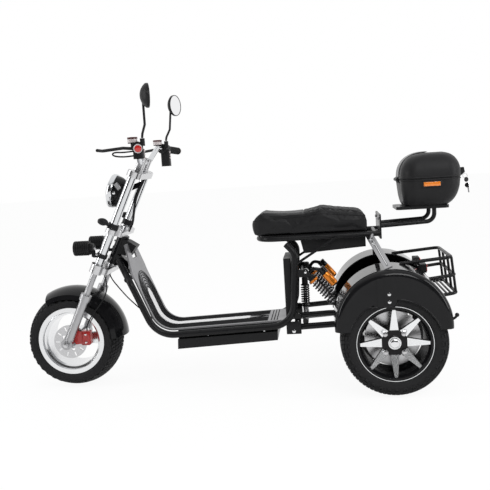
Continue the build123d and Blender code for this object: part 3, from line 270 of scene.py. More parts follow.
def deselect_all():
    """Nothing selected, so that the next operator acts only on what it adds."""
    if bpy.context.mode != "OBJECT":
        bpy.ops.object.mode_set(mode="OBJECT")
    bpy.ops.object.select_all(action="DESELECT")


def turned(outline, centre, axis, steps=32):
    """A piece turned about an axis through centre. Outline holds (distance along the axis, radius)."""
    axis = Vector(axis).normalized()
    out = Vector((0, 0, 1)) if abs(axis.z) < 0.9 else Vector((1, 0, 0))
    out = (out - axis * out.dot(axis)).normalized()
    points = [Vector(centre) + axis * along + out * radius for along, radius in outline]
    deselect_all()
    bpy.ops.mesh.primitive_plane_add(size=0.01, location=points[0])
    bpy.ops.object.transform_apply(location=True, rotation=False, scale=False)
    bpy.ops.object.mode_set(mode="EDIT")
    bpy.ops.mesh.select_mode(type="VERT")
    bpy.ops.mesh.select_all(action="SELECT")
    bpy.ops.mesh.merge(type="CENTER")
    for start, end in zip(points, points[1:]):
        bpy.ops.mesh.extrude_region_move(TRANSFORM_OT_translate={"value": end - start})
    bpy.ops.mesh.select_all(action="SELECT")
    bpy.ops.mesh.spin(steps=steps, angle=2 * pi, center=Vector(centre), axis=axis)
    bpy.ops.mesh.select_all(action="SELECT")
    bpy.ops.mesh.remove_doubles(threshold=0.00002)
    bpy.ops.mesh.normals_make_consistent(inside=False)
    bpy.ops.object.mode_set(mode="OBJECT")
    piece = bpy.context.object
    bpy.ops.object.shade_smooth_by_angle(angle=radians(35))
    return piece


def fit_piece(piece, name, body, finish):
    """Put a finished piece's place in its mesh, give it its finish and fix it to its body."""
    deselect_all()
    piece.select_set(True)
    bpy.context.view_layer.objects.active = piece
    bpy.ops.object.transform_apply(location=True, rotation=True, scale=True)
    piece.name = name
    piece.data.materials.clear()
    piece.data.materials.append(finish)
    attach(piece, body)
    return piece


def select_faces(piece, wanted):
    """Select the faces whose centre and normal pass the test, and open the piece in edit mode."""
    deselect_all()
    piece.select_set(True)
    bpy.context.view_layer.objects.active = piece
    bpy.ops.object.mode_set(mode="EDIT")
    bpy.ops.mesh.select_mode(type="FACE")
    bpy.ops.mesh.select_all(action="DESELECT")
    bpy.ops.object.mode_set(mode="OBJECT")
    for face in piece.data.polygons:
        face.select = wanted(face.center, face.normal)
    bpy.ops.object.mode_set(mode="EDIT")


# Half outlines of the carcass, from the bead up the wall to the middle of the tread: (from the middle plane, radius).
FRONT_CARCASS = (
    (0.0800, 0.1545), (0.0846, 0.1560), (0.0846, 0.1683), (0.0950, 0.1712), (0.1000, 0.1768), (0.1018, 0.1772),
    (0.1046, 0.1868), (0.1062, 0.1960), (0.1052, 0.2020), (0.1010, 0.2062), (0.0880, 0.2100), (0.0700, 0.2178),
    (0.0480, 0.2260), (0.0240, 0.2312), (0.0035, 0.2328), (0.0, 0.2328),
)
REAR_CARCASS = (
    (0.0800, 0.1545), (0.0846, 0.1560), (0.0846, 0.1683), (0.0950, 0.1712), (0.0995, 0.1772), (0.1013, 0.1776),
    (0.1044, 0.1880), (0.1062, 0.1965), (0.1046, 0.2080), (0.0985, 0.2190), (0.0840, 0.2268), (0.0640, 0.2296),
    (0.0430, 0.2312), (0.0220, 0.2324), (0.0035, 0.2328), (0.0, 0.2328),
)
# Columns: node, wheel centre, body, half outline, least radius of the shoulder blocks and of the tread.
TYRES = (
    ("front_tyre", (FRONT_AXLE_X, 0), "front_wheel", FRONT_CARCASS, 0.2035, 0.2085),
    ("rear_tyre_left", (REAR_AXLE_X, REAR_WHEEL_Y), "rear_wheel_left", REAR_CARCASS, 0.2020, 0.2210),
    ("rear_tyre_right", (REAR_AXLE_X, -REAR_WHEEL_Y), "rear_wheel_right", REAR_CARCASS, 0.2020, 0.2210),
)
for node, (axle_x, wheel_y), body, half, shoulder_radius, tread_radius in TYRES:
    middle = Vector((axle_x, wheel_y, WHEEL_HEIGHT))
    outline = [*half, *[(-along, radius) for along, radius in reversed(half[:-1])]]
    tyre = turned(outline, middle, (0, 1, 0), TREAD_STEPS)
    for vertex in tyre.data.vertices:
        arm = vertex.co - middle
        slant = TREAD_SLANT * abs(arm.y)
        vertex.co = middle + Vector((
            arm.x * cos(slant) - arm.z * sin(slant),
            arm.y,
            arm.x * sin(slant) + arm.z * cos(slant),
        ))

    def is_tread(centre, normal):
        """Faces of the tread, and every second one on the shoulders."""
        arm = centre - middle
        radius = sqrt(arm.x**2 + arm.z**2)
        if radius > tread_radius:
            return abs(arm.y) > 0.003
        step = int((atan2(arm.z, arm.x) - TREAD_SLANT * abs(arm.y)) * TREAD_STEPS / (2 * pi) + 2 * TREAD_STEPS)
        return radius > shoulder_radius and step % 2 == 0

    select_faces(tyre, is_tread)
    bpy.ops.mesh.inset(thickness=TREAD_GAP, use_individual=True)
    bpy.ops.transform.shrink_fatten(value=TREAD_DEPTH)
    bpy.ops.mesh.select_all(action="SELECT")
    bpy.ops.mesh.normals_make_consistent(inside=False)
    bpy.ops.object.mode_set(mode="OBJECT")
    bpy.ops.object.shade_smooth_by_angle(angle=radians(28))
    fit_piece(tyre, f"{node}_treaded", body, tyre_rubber)
    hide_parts(node)

# Rear rims: cast wheels painted black, with the faces of their eight spokes, the lip and the nuts machined bright.
# The machining shows as fine rings about the axle, so the finish reads the distance from it.


def machined_material(name, axle_x, wheel_y, bright_from, bright_to, lip_from, face_y):
    """Gloss black casting, bright where it faces outwards between two radii, on the lip and past the hub's face."""
    material, tree, shader = new_material(name)
    place = tree.nodes.new("ShaderNodeTexCoord")
    spot = tree.nodes.new("ShaderNodeSeparateXYZ")
    facing = tree.nodes.new("ShaderNodeSeparateXYZ")
    tree.links.new(place.outputs["Object"], spot.inputs["Vector"])
    tree.links.new(place.outputs["Normal"], facing.inputs["Vector"])
    along = joined(tree, "SUBTRACT", spot.outputs["X"], axle_x)
    above = joined(tree, "SUBTRACT", spot.outputs["Z"], WHEEL_HEIGHT)
    square = joined(tree, "ADD", joined(tree, "MULTIPLY", along, along), joined(tree, "MULTIPLY", above, above))
    radius = joined(tree, "SQRT", square)
    side = 1 if wheel_y >= 0 else -1
    outwards = joined(tree, "GREATER_THAN", joined(tree, "MULTIPLY", facing.outputs["Y"], side), 0.8)
    from_middle = joined(tree, "MULTIPLY", joined(tree, "SUBTRACT", spot.outputs["Y"], wheel_y), side)
    after_hub = joined(tree, "GREATER_THAN", radius, bright_from)
    before_lip = joined(tree, "LESS_THAN", radius, bright_to)
    outer = joined(tree, "GREATER_THAN", from_middle, 0.03)
    spokes = joined(
        tree, "MULTIPLY", joined(tree, "MULTIPLY", after_hub, before_lip), joined(tree, "MULTIPLY", outwards, outer),
    )
    lip = joined(tree, "MULTIPLY", joined(tree, "GREATER_THAN", radius, lip_from), outer)
    nuts = joined(tree, "GREATER_THAN", from_middle, face_y)
    inside = joined(tree, "LESS_THAN", radius, 0.07)
    bright = joined(tree, "MAXIMUM", joined(tree, "MAXIMUM", spokes, lip), joined(tree, "MULTIPLY", nuts, inside))
    rings = joined(tree, "SINE", joined(tree, "MULTIPLY", radius, 5200))
    cut = tree.nodes.new("ShaderNodeBump")
    cut.inputs["Distance"].default_value = 0.00005
    cut.inputs["Strength"].default_value = 0.35
    tree.links.new(joined(tree, "MULTIPLY", rings, bright), cut.inputs["Height"])
    colour = tree.nodes.new("ShaderNodeMix")
    colour.data_type = "RGBA"
    colour.inputs["A"].default_value = (0.008, 0.008, 0.009, 1)
    colour.inputs["B"].default_value = (0.86, 0.87, 0.88, 1)
    tree.links.new(bright, colour.inputs["Factor"])
    tree.links.new(colour.outputs["Result"], shader.inputs["Base Color"])
    tree.links.new(bright, shader.inputs["Metallic"])
    tree.links.new(joined(tree, "ADD", joined(tree, "MULTIPLY", bright, 0.10), 0.16), shader.inputs["Roughness"])
    tree.links.new(cut.outputs["Normal"], shader.inputs["Normal"])
    shader.inputs["Specular IOR Level"].default_value = 0.2
    return material


def finish_nodes(finish, *names):
    """Give a finish to parts that keep the shape they have."""
    for name in names:
        nodes[name].data.materials.clear()
        nodes[name].data.materials.append(finish)


# Radii on the rim: where the hub's black middle ends, the spokes end and the lip starts. HUB_FACE is from the middle.
BRIGHT_FROM = 0.062
BRIGHT_TO = 0.1515
LIP_FROM = 0.1655
HUB_FACE = 0.0585
# Columns: side, sign of Y.
SIDES = (("left", 1), ("right", -1))
for side, sign in SIDES:
    finish = machined_material(
        f"machined rim {side}", REAR_AXLE_X, sign * REAR_WHEEL_Y, BRIGHT_FROM, BRIGHT_TO, LIP_FROM, HUB_FACE,
    )
    finish_nodes(finish, f"rear_rim_{side}")

# Hub caps: pressed bright caps with a stepped dome, pushed over the middle of the rear rims.
# Each has a shallow groove round its edge.
polished_alloy = finish_material(
    "polished alloy", (0.72, 0.73, 0.74), (0.86, 0.86, 0.87), (0.12, 0.22), 1.0, (1200, 0.04),
)
CAP_OUTLINE = (
    (0.0, 0.0235), (0.0050, 0.0235), (0.0068, 0.0222), (0.0068, 0.0196), (0.0082, 0.0186), (0.0100, 0.0140),
    (0.0108, 0.0070), (0.0110, 0.0),
)
for side, sign in SIDES:
    face = Vector((REAR_AXLE_X, sign * (REAR_WHEEL_Y + 0.0722), WHEEL_HEIGHT))
    cap = turned(CAP_OUTLINE, face, (0, sign, 0), 40)
    fit_piece(cap, f"hub_cap_{side}", f"rear_wheel_{side}", polished_alloy)

# Wheel nuts: six-sided steel nuts on the four studs of each rear hub, with a washer under each.
# One is modelled from a six-sided bar and copied round the stud circle.
brushed_steel = finish_material(
    "brushed steel", (0.50, 0.50, 0.51), (0.66, 0.66, 0.67), (0.22, 0.34), 1.0, (2200, 0.12),
)
STUD_CIRCLE = 0.0575


def nut(place, axis, across, height):
    """A hexagon nut with chamfered corners on a round washer, standing on place along axis."""
    axis = Vector(axis).normalized()
    washer = turned(
        (
            (0.0, 0.0), (0.0, across * 0.66), (height * 0.14, across * 0.66), (height * 0.18, across * 0.6),
            (height * 0.18, 0.0),
        ),
        place, axis, 20,
    )
    deselect_all()
    middle = Vector(place) + axis * height * 0.6
    turn = axis.to_track_quat("Z", "Y").to_euler()
    bpy.ops.mesh.primitive_cylinder_add(
        vertices=6, radius=across / sqrt(3), depth=height * 0.85, location=middle, rotation=turn,
    )
    hexagon = bpy.context.object
    chamfer = hexagon.modifiers.new("chamfer", "BEVEL")
    chamfer.width = height * 0.1
    chamfer.segments = 2
    bpy.ops.object.modifier_apply(modifier=chamfer.name)
    bpy.ops.object.transform_apply(location=True, rotation=True, scale=True)
    bpy.ops.object.shade_smooth_by_angle(angle=radians(35))
    return join_pieces([hexagon, washer])


def join_pieces(pieces):
    """One piece from several."""
    deselect_all()
    for piece in pieces:
        piece.select_set(True)
    bpy.context.view_layer.objects.active = pieces[0]
    if len(pieces) > 1:
        bpy.ops.object.join()
    return bpy.context.object


for side, sign in SIDES:
    nuts = []
    for i in range(4):
        around = pi / 4 + i * pi / 2
        spot = Vector(
            (
                REAR_AXLE_X + STUD_CIRCLE * cos(around), sign * (REAR_WHEEL_Y + 0.0701),
                WHEEL_HEIGHT + STUD_CIRCLE * sin(around),
            )
        )
        nuts.append(nut(spot, (0, sign, 0), 0.016, 0.010))
    fit_piece(join_pieces(nuts), f"wheel_nuts_{side}", f"rear_wheel_{side}", brushed_steel)

# Seat: one long pad of black leather over foam on a board, stuffed tight, with a welt of piping round its top.
# Its rear top is quilted in diamonds, and a plain seam runs across where the rider's place ends.
SEAT_VOXEL = 0.0055
STUFFING_PRESSURE = 4
STUFFING_FRAMES = 20
SEAT_SHRINK = -0.006
SEAT_SWELL = 0.007
QUILT_FROM_X = -0.330
QUILT_PITCH = 0.046
QUILT_DEPTH = 0.0042
SEAM_DEPTH = 0.0045
QUILT_WIDTH = 0.009
SEAM_WIDTH = 0.006
NOSE_SEAM_DEPTH = 0.003
NOSE_SEAM_X = -0.135

pebble_grain, entry, leave = start_group(
    "pebble grain",
    (("Pebbles per metre", "NodeSocketFloat", 500.0), ("Depth", "NodeSocketFloat", 0.3)),
    (("Height", "NodeSocketFloat"), ("Normal", "NodeSocketVector")),
)
place = pebble_grain.nodes.new("ShaderNodeTexCoord")
cells = pebble_grain.nodes.new("ShaderNodeTexVoronoi")
cells.feature = "SMOOTH_F1"
bump = pebble_grain.nodes.new("ShaderNodeBump")
bump.inputs["Distance"].default_value = 0.0006
links = pebble_grain.links
links.new(place.outputs["Object"], cells.inputs["Vector"])
links.new(entry.outputs["Pebbles per metre"], cells.inputs["Scale"])
links.new(cells.outputs["Distance"], bump.inputs["Height"])
links.new(entry.outputs["Depth"], bump.inputs["Strength"])
links.new(cells.outputs["Distance"], leave.inputs["Height"])
links.new(bump.outputs["Normal"], leave.inputs["Normal"])

black_leather = finish_material(
    "black leather", (0.012, 0.012, 0.013), (0.022, 0.022, 0.023), (0.36, 0.5), pebbles=(700, 0.5),
)

deselect_all()
seat = nodes["seat"].copy()
seat.data = nodes["seat"].data.copy()
bpy.context.collection.objects.link(seat)
seat.parent = None
seat.select_set(True)
bpy.context.view_layer.objects.active = seat
bpy.ops.object.mode_set(mode="EDIT")
bpy.ops.mesh.select_all(action="SELECT")
bpy.ops.mesh.remove_doubles(threshold=0.0001)
bpy.ops.transform.shrink_fatten(value=SEAT_SHRINK)
bpy.ops.object.mode_set(mode="OBJECT")
seat.data.remesh_voxel_size = SEAT_VOXEL
bpy.ops.object.voxel_remesh()
soften = seat.modifiers.new("soften", "SMOOTH")
soften.iterations = 12
bpy.ops.object.modifier_apply(modifier=soften.name)
before = [vertex.co.copy() for vertex in seat.data.vertices]
cloth = seat.modifiers.new("stuffing", "CLOTH")
cloth.settings.use_pressure = True
cloth.settings.uniform_pressure_force = STUFFING_PRESSURE
cloth.settings.effector_weights.gravity = 0
cloth.settings.quality = 5
cloth.collision_settings.use_self_collision = False
cloth.point_cache.frame_start = 1
cloth.point_cache.frame_end = STUFFING_FRAMES
for step in range(1, STUFFING_FRAMES + 1):
    scene.frame_set(step)
bpy.ops.object.modifier_apply(modifier=cloth.name)
scene.frame_set(1)
for vertex, start in zip(seat.data.vertices, before):
    moved = vertex.co - start
    if moved.length > SEAT_SWELL:
        vertex.co = start + moved.normalized() * SEAT_SWELL
seat_low, seat_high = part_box("seat")
finer = seat.modifiers.new("finer", "SUBSURF")
finer.levels = 1
finer.render_levels = 1
bpy.ops.object.modifier_apply(modifier=finer.name)


def ease(value, low, high):
    """0 below low, 1 above high and smooth between."""
    share = min(1.0, max(0.0, (value - low) / (high - low)))
    return share * share * (3 - 2 * share)


def groove(distance, width):
    """1 on a seam and falling to 0 a width away."""
    return max(0.0, 1 - distance / width) ** 2


normals = [vertex.normal.copy() for vertex in seat.data.vertices]
for vertex, normal in zip(seat.data.vertices, normals):
    x, y, z = vertex.co
    up_share = ease(normal.z, 0.55, 0.85)
    depth = 0.0
    quilted = ease(-x, -QUILT_FROM_X, -QUILT_FROM_X + 0.012) * up_share
    if quilted:
        first = (x + y) / QUILT_PITCH
        second = (x - y) / QUILT_PITCH
        nearest = min(abs(first - round(first)), abs(second - round(second))) * QUILT_PITCH * 0.7071
        depth += QUILT_DEPTH * groove(nearest, QUILT_WIDTH) * quilted
        depth -= 0.0012 * quilted * (1 - groove(nearest, 0.02))
    depth += SEAM_DEPTH * groove(abs(x - QUILT_FROM_X), SEAM_WIDTH) * up_share
    depth += NOSE_SEAM_DEPTH * groove(abs(x - NOSE_SEAM_X + 0.25 * y * y), 0.005) * up_share
    vertex.co -= normal * depth
for vertex in seat.data.vertices:
    for axis in range(3):
        low = seat_low[axis] + (0.0002 if axis == 2 else -0.004)
        vertex.co[axis] = min(seat_high[axis] + 0.006, max(low, vertex.co[axis]))
bpy.ops.object.shade_smooth()
fit_piece(seat, "padded_seat", "frame", black_leather)
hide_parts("seat")

# Piping: a round welt of the same leather, sewn into the seam between the seat's top and its side band.
# It follows the pad all the way round, a little below the edge of the top, and sits half into the seam.
PIPING_RADIUS = 0.0026


def bar_through(points, radius, closed=False, around=3, smooth=True):
    """A round bar along points, as a mesh. A smooth one bends softly at each of them."""
    deselect_all()
    kind = "NURBS" if smooth else "POLY"
    line = bpy.data.curves.new("bar", "CURVE")
    line.dimensions = "3D"
    line.bevel_depth = radius
    line.bevel_resolution = around
    line.use_fill_caps = not closed
    line.resolution_u = 6
    spline = line.splines.new(kind)
    spline.points.add(len(points) - 1)
    for knot, point in zip(spline.points, points):
        knot.co = (*point, 1)
    spline.use_cyclic_u = closed
    if smooth:
        spline.order_u = 3
        spline.use_endpoint_u = not closed
    piece = bpy.data.objects.new("bar", line)
    bpy.context.collection.objects.link(piece)
    piece.select_set(True)
    bpy.context.view_layer.objects.active = piece
    bpy.ops.object.convert(target="MESH")
    piece = bpy.context.object
    bpy.ops.object.shade_smooth_by_angle(angle=radians(50))
    return piece


# Heights of the seam along the seat, from the rear to the nose: (x, z).
SEAM_HEIGHTS = (
    (-0.640, 0.786), (-0.560, 0.794), (-0.412, 0.812), (-0.330, 0.803), (-0.226, 0.797), (-0.150, 0.798),
    (-0.090, 0.784), (-0.060, 0.775),
)


def seam_height(x):
    """Height of the seam at x, in line between the heights given."""
    for (x0, z0), (x1, z1) in zip(SEAM_HEIGHTS, SEAM_HEIGHTS[1:]):
        if x <= x1:
            return z0 + (z1 - z0) * max(0.0, (x - x0) / (x1 - x0))
    return SEAM_HEIGHTS[-1][1]


bpy.context.view_layer.update()
welt = []
for i in range(120):
    turn = 2 * pi * i / 120
    aim = Vector((cos(turn), sin(turn), 0))
    spine = Vector((min(-0.20, max(-0.52, -0.355 + 0.30 * cos(turn))), 0, 0))
    for _ in range(3):
        guess = spine.x + 0.12 * cos(turn)
        spine.z = seam_height(guess)
        hit, spot, *_ = seat.ray_cast(spine + aim * 0.5, -aim)
        if hit:
            spine.z = seam_height(spot.x)
    if hit:
        welt.append(spot - aim * 0.0004)
piping = bar_through(welt, PIPING_RADIUS, closed=True)
fit_piece(piping, "seat_piping", "frame", black_leather)

# Rear shock absorbers: black coil springs on a bright damper, an orange collar and eyes at both ends.
# A black arm on each head carries an orange fluid canister with black caps, behind the spring.
black_plastic = finish_material(
    "black plastic", (0.012, 0.012, 0.013), (0.020, 0.020, 0.021), (0.35, 0.48), grain=(1600, 0.3),
)
orange_metal = finish_material(
    "orange metal", (0.70, 0.19, 0.012), (0.86, 0.29, 0.03), (0.22, 0.32), 0.55, (1200, 0.1),
)
black_paint = finish_material(
    "black paint", (0.006, 0.006, 0.007), (0.012, 0.012, 0.013), (0.08, 0.14), coat=0.10, grain=(60, 0.03),
)
black_frame = finish_material(
    "black frame paint", (0.010, 0.010, 0.011), (0.018, 0.018, 0.019), (0.22, 0.34), grain=(900, 0.1),
)
SHOCK_TOP = Vector((-0.329, 0.118, 0.540))
SHOCK_FOOT = Vector((-0.474, 0.118, 0.368))
shock_down = (SHOCK_FOOT - SHOCK_TOP).normalized()
shock_behind = Vector((shock_down.z, 0, -shock_down.x))


def coil_spring(start, direction, length, radius, wire, turns):
    """A coil of round wire about a line, made by a screw modifier, with its ends closed."""
    deselect_all()
    bpy.ops.mesh.primitive_circle_add(vertices=10, radius=wire, rotation=(pi / 2, 0, 0))
    spring = bpy.context.object
    bpy.ops.object.transform_apply(location=True, rotation=True, scale=True)
    bpy.ops.object.mode_set(mode="EDIT")
    bpy.ops.mesh.select_all(action="SELECT")
    bpy.ops.transform.translate(value=(radius - wire, 0, wire))
    bpy.ops.object.mode_set(mode="OBJECT")
    screw = spring.modifiers.new("coil", "SCREW")
    screw.axis = "Z"
    screw.angle = 2 * pi
    screw.iterations = turns
    screw.screw_offset = (length - 2 * wire) / turns
    screw.steps = 22
    screw.render_steps = 22
    bpy.ops.object.modifier_apply(modifier=screw.name)
    bpy.ops.object.mode_set(mode="EDIT")
    bpy.ops.mesh.select_all(action="DESELECT")
    bpy.ops.mesh.select_mode(type="EDGE")
    bpy.ops.mesh.select_non_manifold()
    bpy.ops.mesh.fill()
    bpy.ops.mesh.select_all(action="SELECT")
    bpy.ops.mesh.normals_make_consistent(inside=False)
    bpy.ops.object.mode_set(mode="OBJECT")
    spring.rotation_euler = Vector(direction).to_track_quat("Z", "Y").to_euler()
    spring.location = start
    bpy.ops.object.transform_apply(location=True, rotation=True, scale=True)
    bpy.ops.object.shade_smooth_by_angle(angle=radians(40))
    return spring


# Outlines as (distance down from the top eye, radius).
HEAD_OUTLINE = (
    (0.010, 0.0), (0.010, 0.0120), (0.031, 0.0125), (0.033, 0.0180), (0.036, 0.0188), (0.039, 0.0172), (0.042, 0.0188),
    (0.045, 0.0172), (0.048, 0.0188), (0.050, 0.0220), (0.050, 0.0),
)
COLLAR_OUTLINE = (
    (0.050, 0.0), (0.050, 0.0225), (0.0515, 0.0245), (0.0535, 0.0245), (0.0545, 0.0225), (0.0565, 0.0225),
    (0.0575, 0.0250), (0.0605, 0.0250), (0.0615, 0.0232), (0.0615, 0.0),
)
ROD_OUTLINE = (
    (0.060, 0.0), (0.060, 0.0135), (0.150, 0.0135), (0.152, 0.0110), (0.152, 0.0075), (0.212, 0.0075), (0.212, 0.0),
)
SEAT_OUTLINE = (
    (0.194, 0.0), (0.194, 0.0190), (0.1955, 0.0205), (0.199, 0.0205), (0.2010, 0.0190), (0.203, 0.0130),
    (0.212, 0.0110), (0.212, 0.0),
)
CANISTER_BODY = (
    (0.034, 0.0), (0.034, 0.0188), (0.036, 0.0196), (0.082, 0.0196), (0.084, 0.0188), (0.098, 0.0188),
    (0.0995, 0.0176), (0.0995, 0.0),
)
CANISTER_CAP = (
    (0.0, 0.0), (0.0, 0.0165), (0.0025, 0.0190), (0.012, 0.0190), (0.0135, 0.0178), (0.0155, 0.0178), (0.017, 0.0190),
    (0.032, 0.0190), (0.034, 0.0176), (0.034, 0.0),
)
CANISTER_FOOT = ((0.099, 0.0), (0.099, 0.0168), (0.104, 0.0162), (0.1058, 0.0140), (0.1058, 0.0))
CANISTER_AT = SHOCK_TOP + shock_down * 0.034 + shock_behind * 0.062
# Columns: part name, outline, start, finish, slot.
SHOCK_TURNINGS = (
    ("head", HEAD_OUTLINE, SHOCK_TOP, black_plastic, "black_plastic"),
    ("collar", COLLAR_OUTLINE, SHOCK_TOP, orange_metal, "shock_orange"),
    ("rod", ROD_OUTLINE, SHOCK_TOP, brushed_steel, "disc_steel"),
    ("spring_seat", SEAT_OUTLINE, SHOCK_TOP, black_plastic, "black_plastic"),
    ("canister", CANISTER_BODY, CANISTER_AT, orange_metal, "shock_orange"),
    ("canister_cap", CANISTER_CAP, CANISTER_AT, black_paint, "black_paint"),
    ("canister_foot", CANISTER_FOOT, CANISTER_AT, black_paint, "black_paint"),
)
EYE_OUTLINE = (
    (-0.012, 0.0066), (-0.012, 0.0128), (-0.0105, 0.0138), (0.0105, 0.0138), (0.012, 0.0128), (0.012, 0.0066),
    (-0.012, 0.0066),
)
for side, sign in SIDES:
    shift = Vector((0, (sign - 1) * SHOCK_TOP.y, 0))
    spring = coil_spring(SHOCK_TOP + shift + shock_down * 0.0615, shock_down, 0.1325, 0.0236, 0.0040, 8)
    fit_piece(spring, f"shock_spring_{side}", "frame", black_frame)
    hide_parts(f"shock_{side}")
    for part, outline, start, finish, slot in SHOCK_TURNINGS:
        piece = turned(outline, start + shift, shock_down, 32)
        fit_piece(piece, f"shock_{part}_{side}", "frame", finish)
    eyes = []
    for place in (SHOCK_TOP, SHOCK_FOOT):
        eyes.append(turned(EYE_OUTLINE, place + shift, (0, 1, 0), 28))
    fit_piece(join_pieces(eyes), f"shock_eyes_{side}", "frame", black_paint)
    arm_path = [
        SHOCK_TOP + shift + shock_down * 0.024,
        SHOCK_TOP + shift + shock_down * 0.006 + shock_behind * 0.030,
        CANISTER_AT + shift + shock_down * 0.006 - shock_behind * 0.004,
        CANISTER_AT + shift + shock_down * 0.014,
    ]
    arm = bar_through(arm_path, 0.0082)
    fit_piece(arm, f"shock_arm_{side}", "frame", black_paint)

# Upright shock by the seat post: a small black spring over a bright end, between the two cross tubes.
# It leans back a touch, as its two tubes do.
CENTRE_FOOT = Vector((-0.3182, 0, 0.3145))
CENTRE_UP = Vector((-0.011, 0, 1)).normalized()
# Columns: part name, outline as (distance up, radius), finish and slot.
CENTRE_TURNINGS = (
    ("end", ((0.0, 0.0), (0.0, 0.0125), (0.034, 0.0125), (0.036, 0.0105), (0.036, 0.0)), brushed_steel, "disc_steel"),
    (
        "cup", ((0.036, 0.0), (0.036, 0.0180), (0.038, 0.0212), (0.042, 0.0212), (0.044, 0.0190), (0.044, 0.0)),
        black_plastic, "black_plastic",
    ),
    ("rod", ((0.040, 0.0), (0.040, 0.0085), (0.150, 0.0085), (0.150, 0.0)), brushed_steel, "disc_steel"),
    (
        "top",
        (
            (0.140, 0.0), (0.140, 0.0205), (0.144, 0.0205), (0.146, 0.0148), (0.176, 0.0148), (0.182, 0.0100),
            (0.188, 0.0090), (0.188, 0.0),
        ),
        black_plastic, "black_plastic",
    ),
)
spring = coil_spring(CENTRE_FOOT + CENTRE_UP * 0.043, CENTRE_UP, 0.098, 0.0216, 0.0034, 8)
fit_piece(spring, "centre_shock_spring", "frame", black_frame)
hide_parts("centre_shock")
for part, outline, finish, slot in CENTRE_TURNINGS:
    piece = turned(outline, CENTRE_FOOT, CENTRE_UP, 28)
    fit_piece(piece, f"centre_shock_{part}", "frame", finish)
eye = turned(
    ((-0.014, 0.0), (-0.014, 0.0128), (-0.0125, 0.0138), (0.0125, 0.0138), (0.014, 0.0128), (0.014, 0.0)),
    (-0.320, 0, 0.5076), (0, 1, 0), 28,
)
fit_piece(eye, "centre_shock_eye", "frame", black_paint)

# Footboard: a grey pressed board with black rubber ribs that run in long loops round a bright middle strip.
# The ribs start on the leg shield, follow the bend and run back along the floor, where cross ribs end them.
grey_board = finish_material("grey board", (0.26, 0.26, 0.27), (0.36, 0.36, 0.37), (0.34, 0.46), 0.75, (1800, 0.2))
finish_nodes(grey_board, "footboard")
BOARD_LINE = ((0.541, 0.708), (0.500, 0.560), (0.392, 0.287), (-0.222, 0.315))
BOARD_BENDS = (0.200, 0.110)
LOOP_CENTRE = 0.285
FLOOR_END = 0.955


def board_path():
    """Points down the middle of the board's top face, with its two bends, from the shield to the rear."""
    corners = [Vector((x, 0, z)) for x, z in BOARD_LINE]
    path = [corners[0]]
    for before, corner, after, bend in zip(corners, corners[1:], corners[2:], BOARD_BENDS):
        back = (before - corner).normalized()
        on = (after - corner).normalized()
        half = back.angle(on) / 2
        centre = corner + (back + on).normalized() * bend / sin(half)
        first = corner + back * bend / tan(half)
        last = corner + on * bend / tan(half)
        for i in range(13):
            arm = (first - centre).lerp(last - centre, i / 12)
            path.append(centre + arm.normalized() * bend)
    path.append(corners[-1])
    return path


board_points = board_path()


def on_board(distance, y):
    """Point on the board's top face at a distance along it and y across it."""
    left = distance
    for start, end in zip(board_points, board_points[1:]):
        run = (end - start).length
        if left <= run:
            break
        left -= run
    along = (end - start).normalized()
    spot = start + along * min(left, run)
    return Vector((spot.x, y, spot.z))


# Columns: half width of a loop of ribs, how far its front end reaches past the loops' centre.
RIB_LOOPS = (
    (0.036, 0.050), (0.048, 0.066), (0.060, 0.082), (0.072, 0.098), (0.084, 0.112), (0.096, 0.124), (0.108, 0.134),
)
ribs = []
for half_width, reach in RIB_LOOPS:
    line = []
    for i in range(34):
        line.append(on_board(LOOP_CENTRE + (FLOOR_END - LOOP_CENTRE) * (1 - i / 34), half_width))
    for i in range(17):
        turn = pi * i / 16
        line.append(on_board(LOOP_CENTRE - reach * sin(turn), half_width * cos(turn)))
    for i in range(34):
        line.append(on_board(LOOP_CENTRE + (FLOOR_END - LOOP_CENTRE) * (i + 1) / 34, -half_width))
    ribs.append(bar_through(line, 0.0024, around=2))
for distance, reach in ((0.972, 0.112), (0.986, 0.112), (1.000, 0.112)):
    ribs.append(bar_through([on_board(distance, y) for y in (-reach, 0, reach)], 0.0024, around=2))
for sign in (1, -1):
    for shift in (0.0, 0.014, 0.028):
        line = [on_board(0.845 + shift * 2, sign * 0.028), on_board(0.925 + shift, sign * 0.004)]
        ribs.append(bar_through(line, 0.0020, around=2))
fit_piece(join_pieces(ribs), "footboard_ribs", "frame", tyre_rubber)

# Middle strip: a bright flat inlay between the two inner ribs, round at its front end.
# It is a thin sheet laid on the board, and it follows the board's bends.
bright_inlay = finish_material("bright inlay", (0.78, 0.78, 0.79), (0.88, 0.88, 0.89), (0.18, 0.28), 0.6, (1800, 0.15))
INLAY_HALF = 0.028
INLAY_REACH = 0.040
INLAY_END = 0.860
deselect_all()
bpy.ops.mesh.primitive_grid_add(x_subdivisions=60, y_subdivisions=6, size=1)
inlay = bpy.context.object
for vertex in inlay.data.vertices:
    share = vertex.co.x + 0.5
    across = vertex.co.y * 2
    start = LOOP_CENTRE - INLAY_REACH * sqrt(max(0.0, 1 - across**2))
    distance = start + (INLAY_END - start) * share
    spot = on_board(distance, INLAY_HALF * across)
    ahead = (on_board(distance + 0.004, 0) - on_board(distance, 0)).normalized()
    vertex.co = spot + Vector((-ahead.z, 0, ahead.x)) * -0.0008
thicken = inlay.modifiers.new("thickness", "SOLIDIFY")
thicken.thickness = 0.0012
thicken.offset = 0
bpy.ops.object.modifier_apply(modifier=thicken.name)
bpy.ops.object.shade_smooth_by_angle(angle=radians(30))
fit_piece(inlay, "footboard_inlay", "frame", bright_inlay)

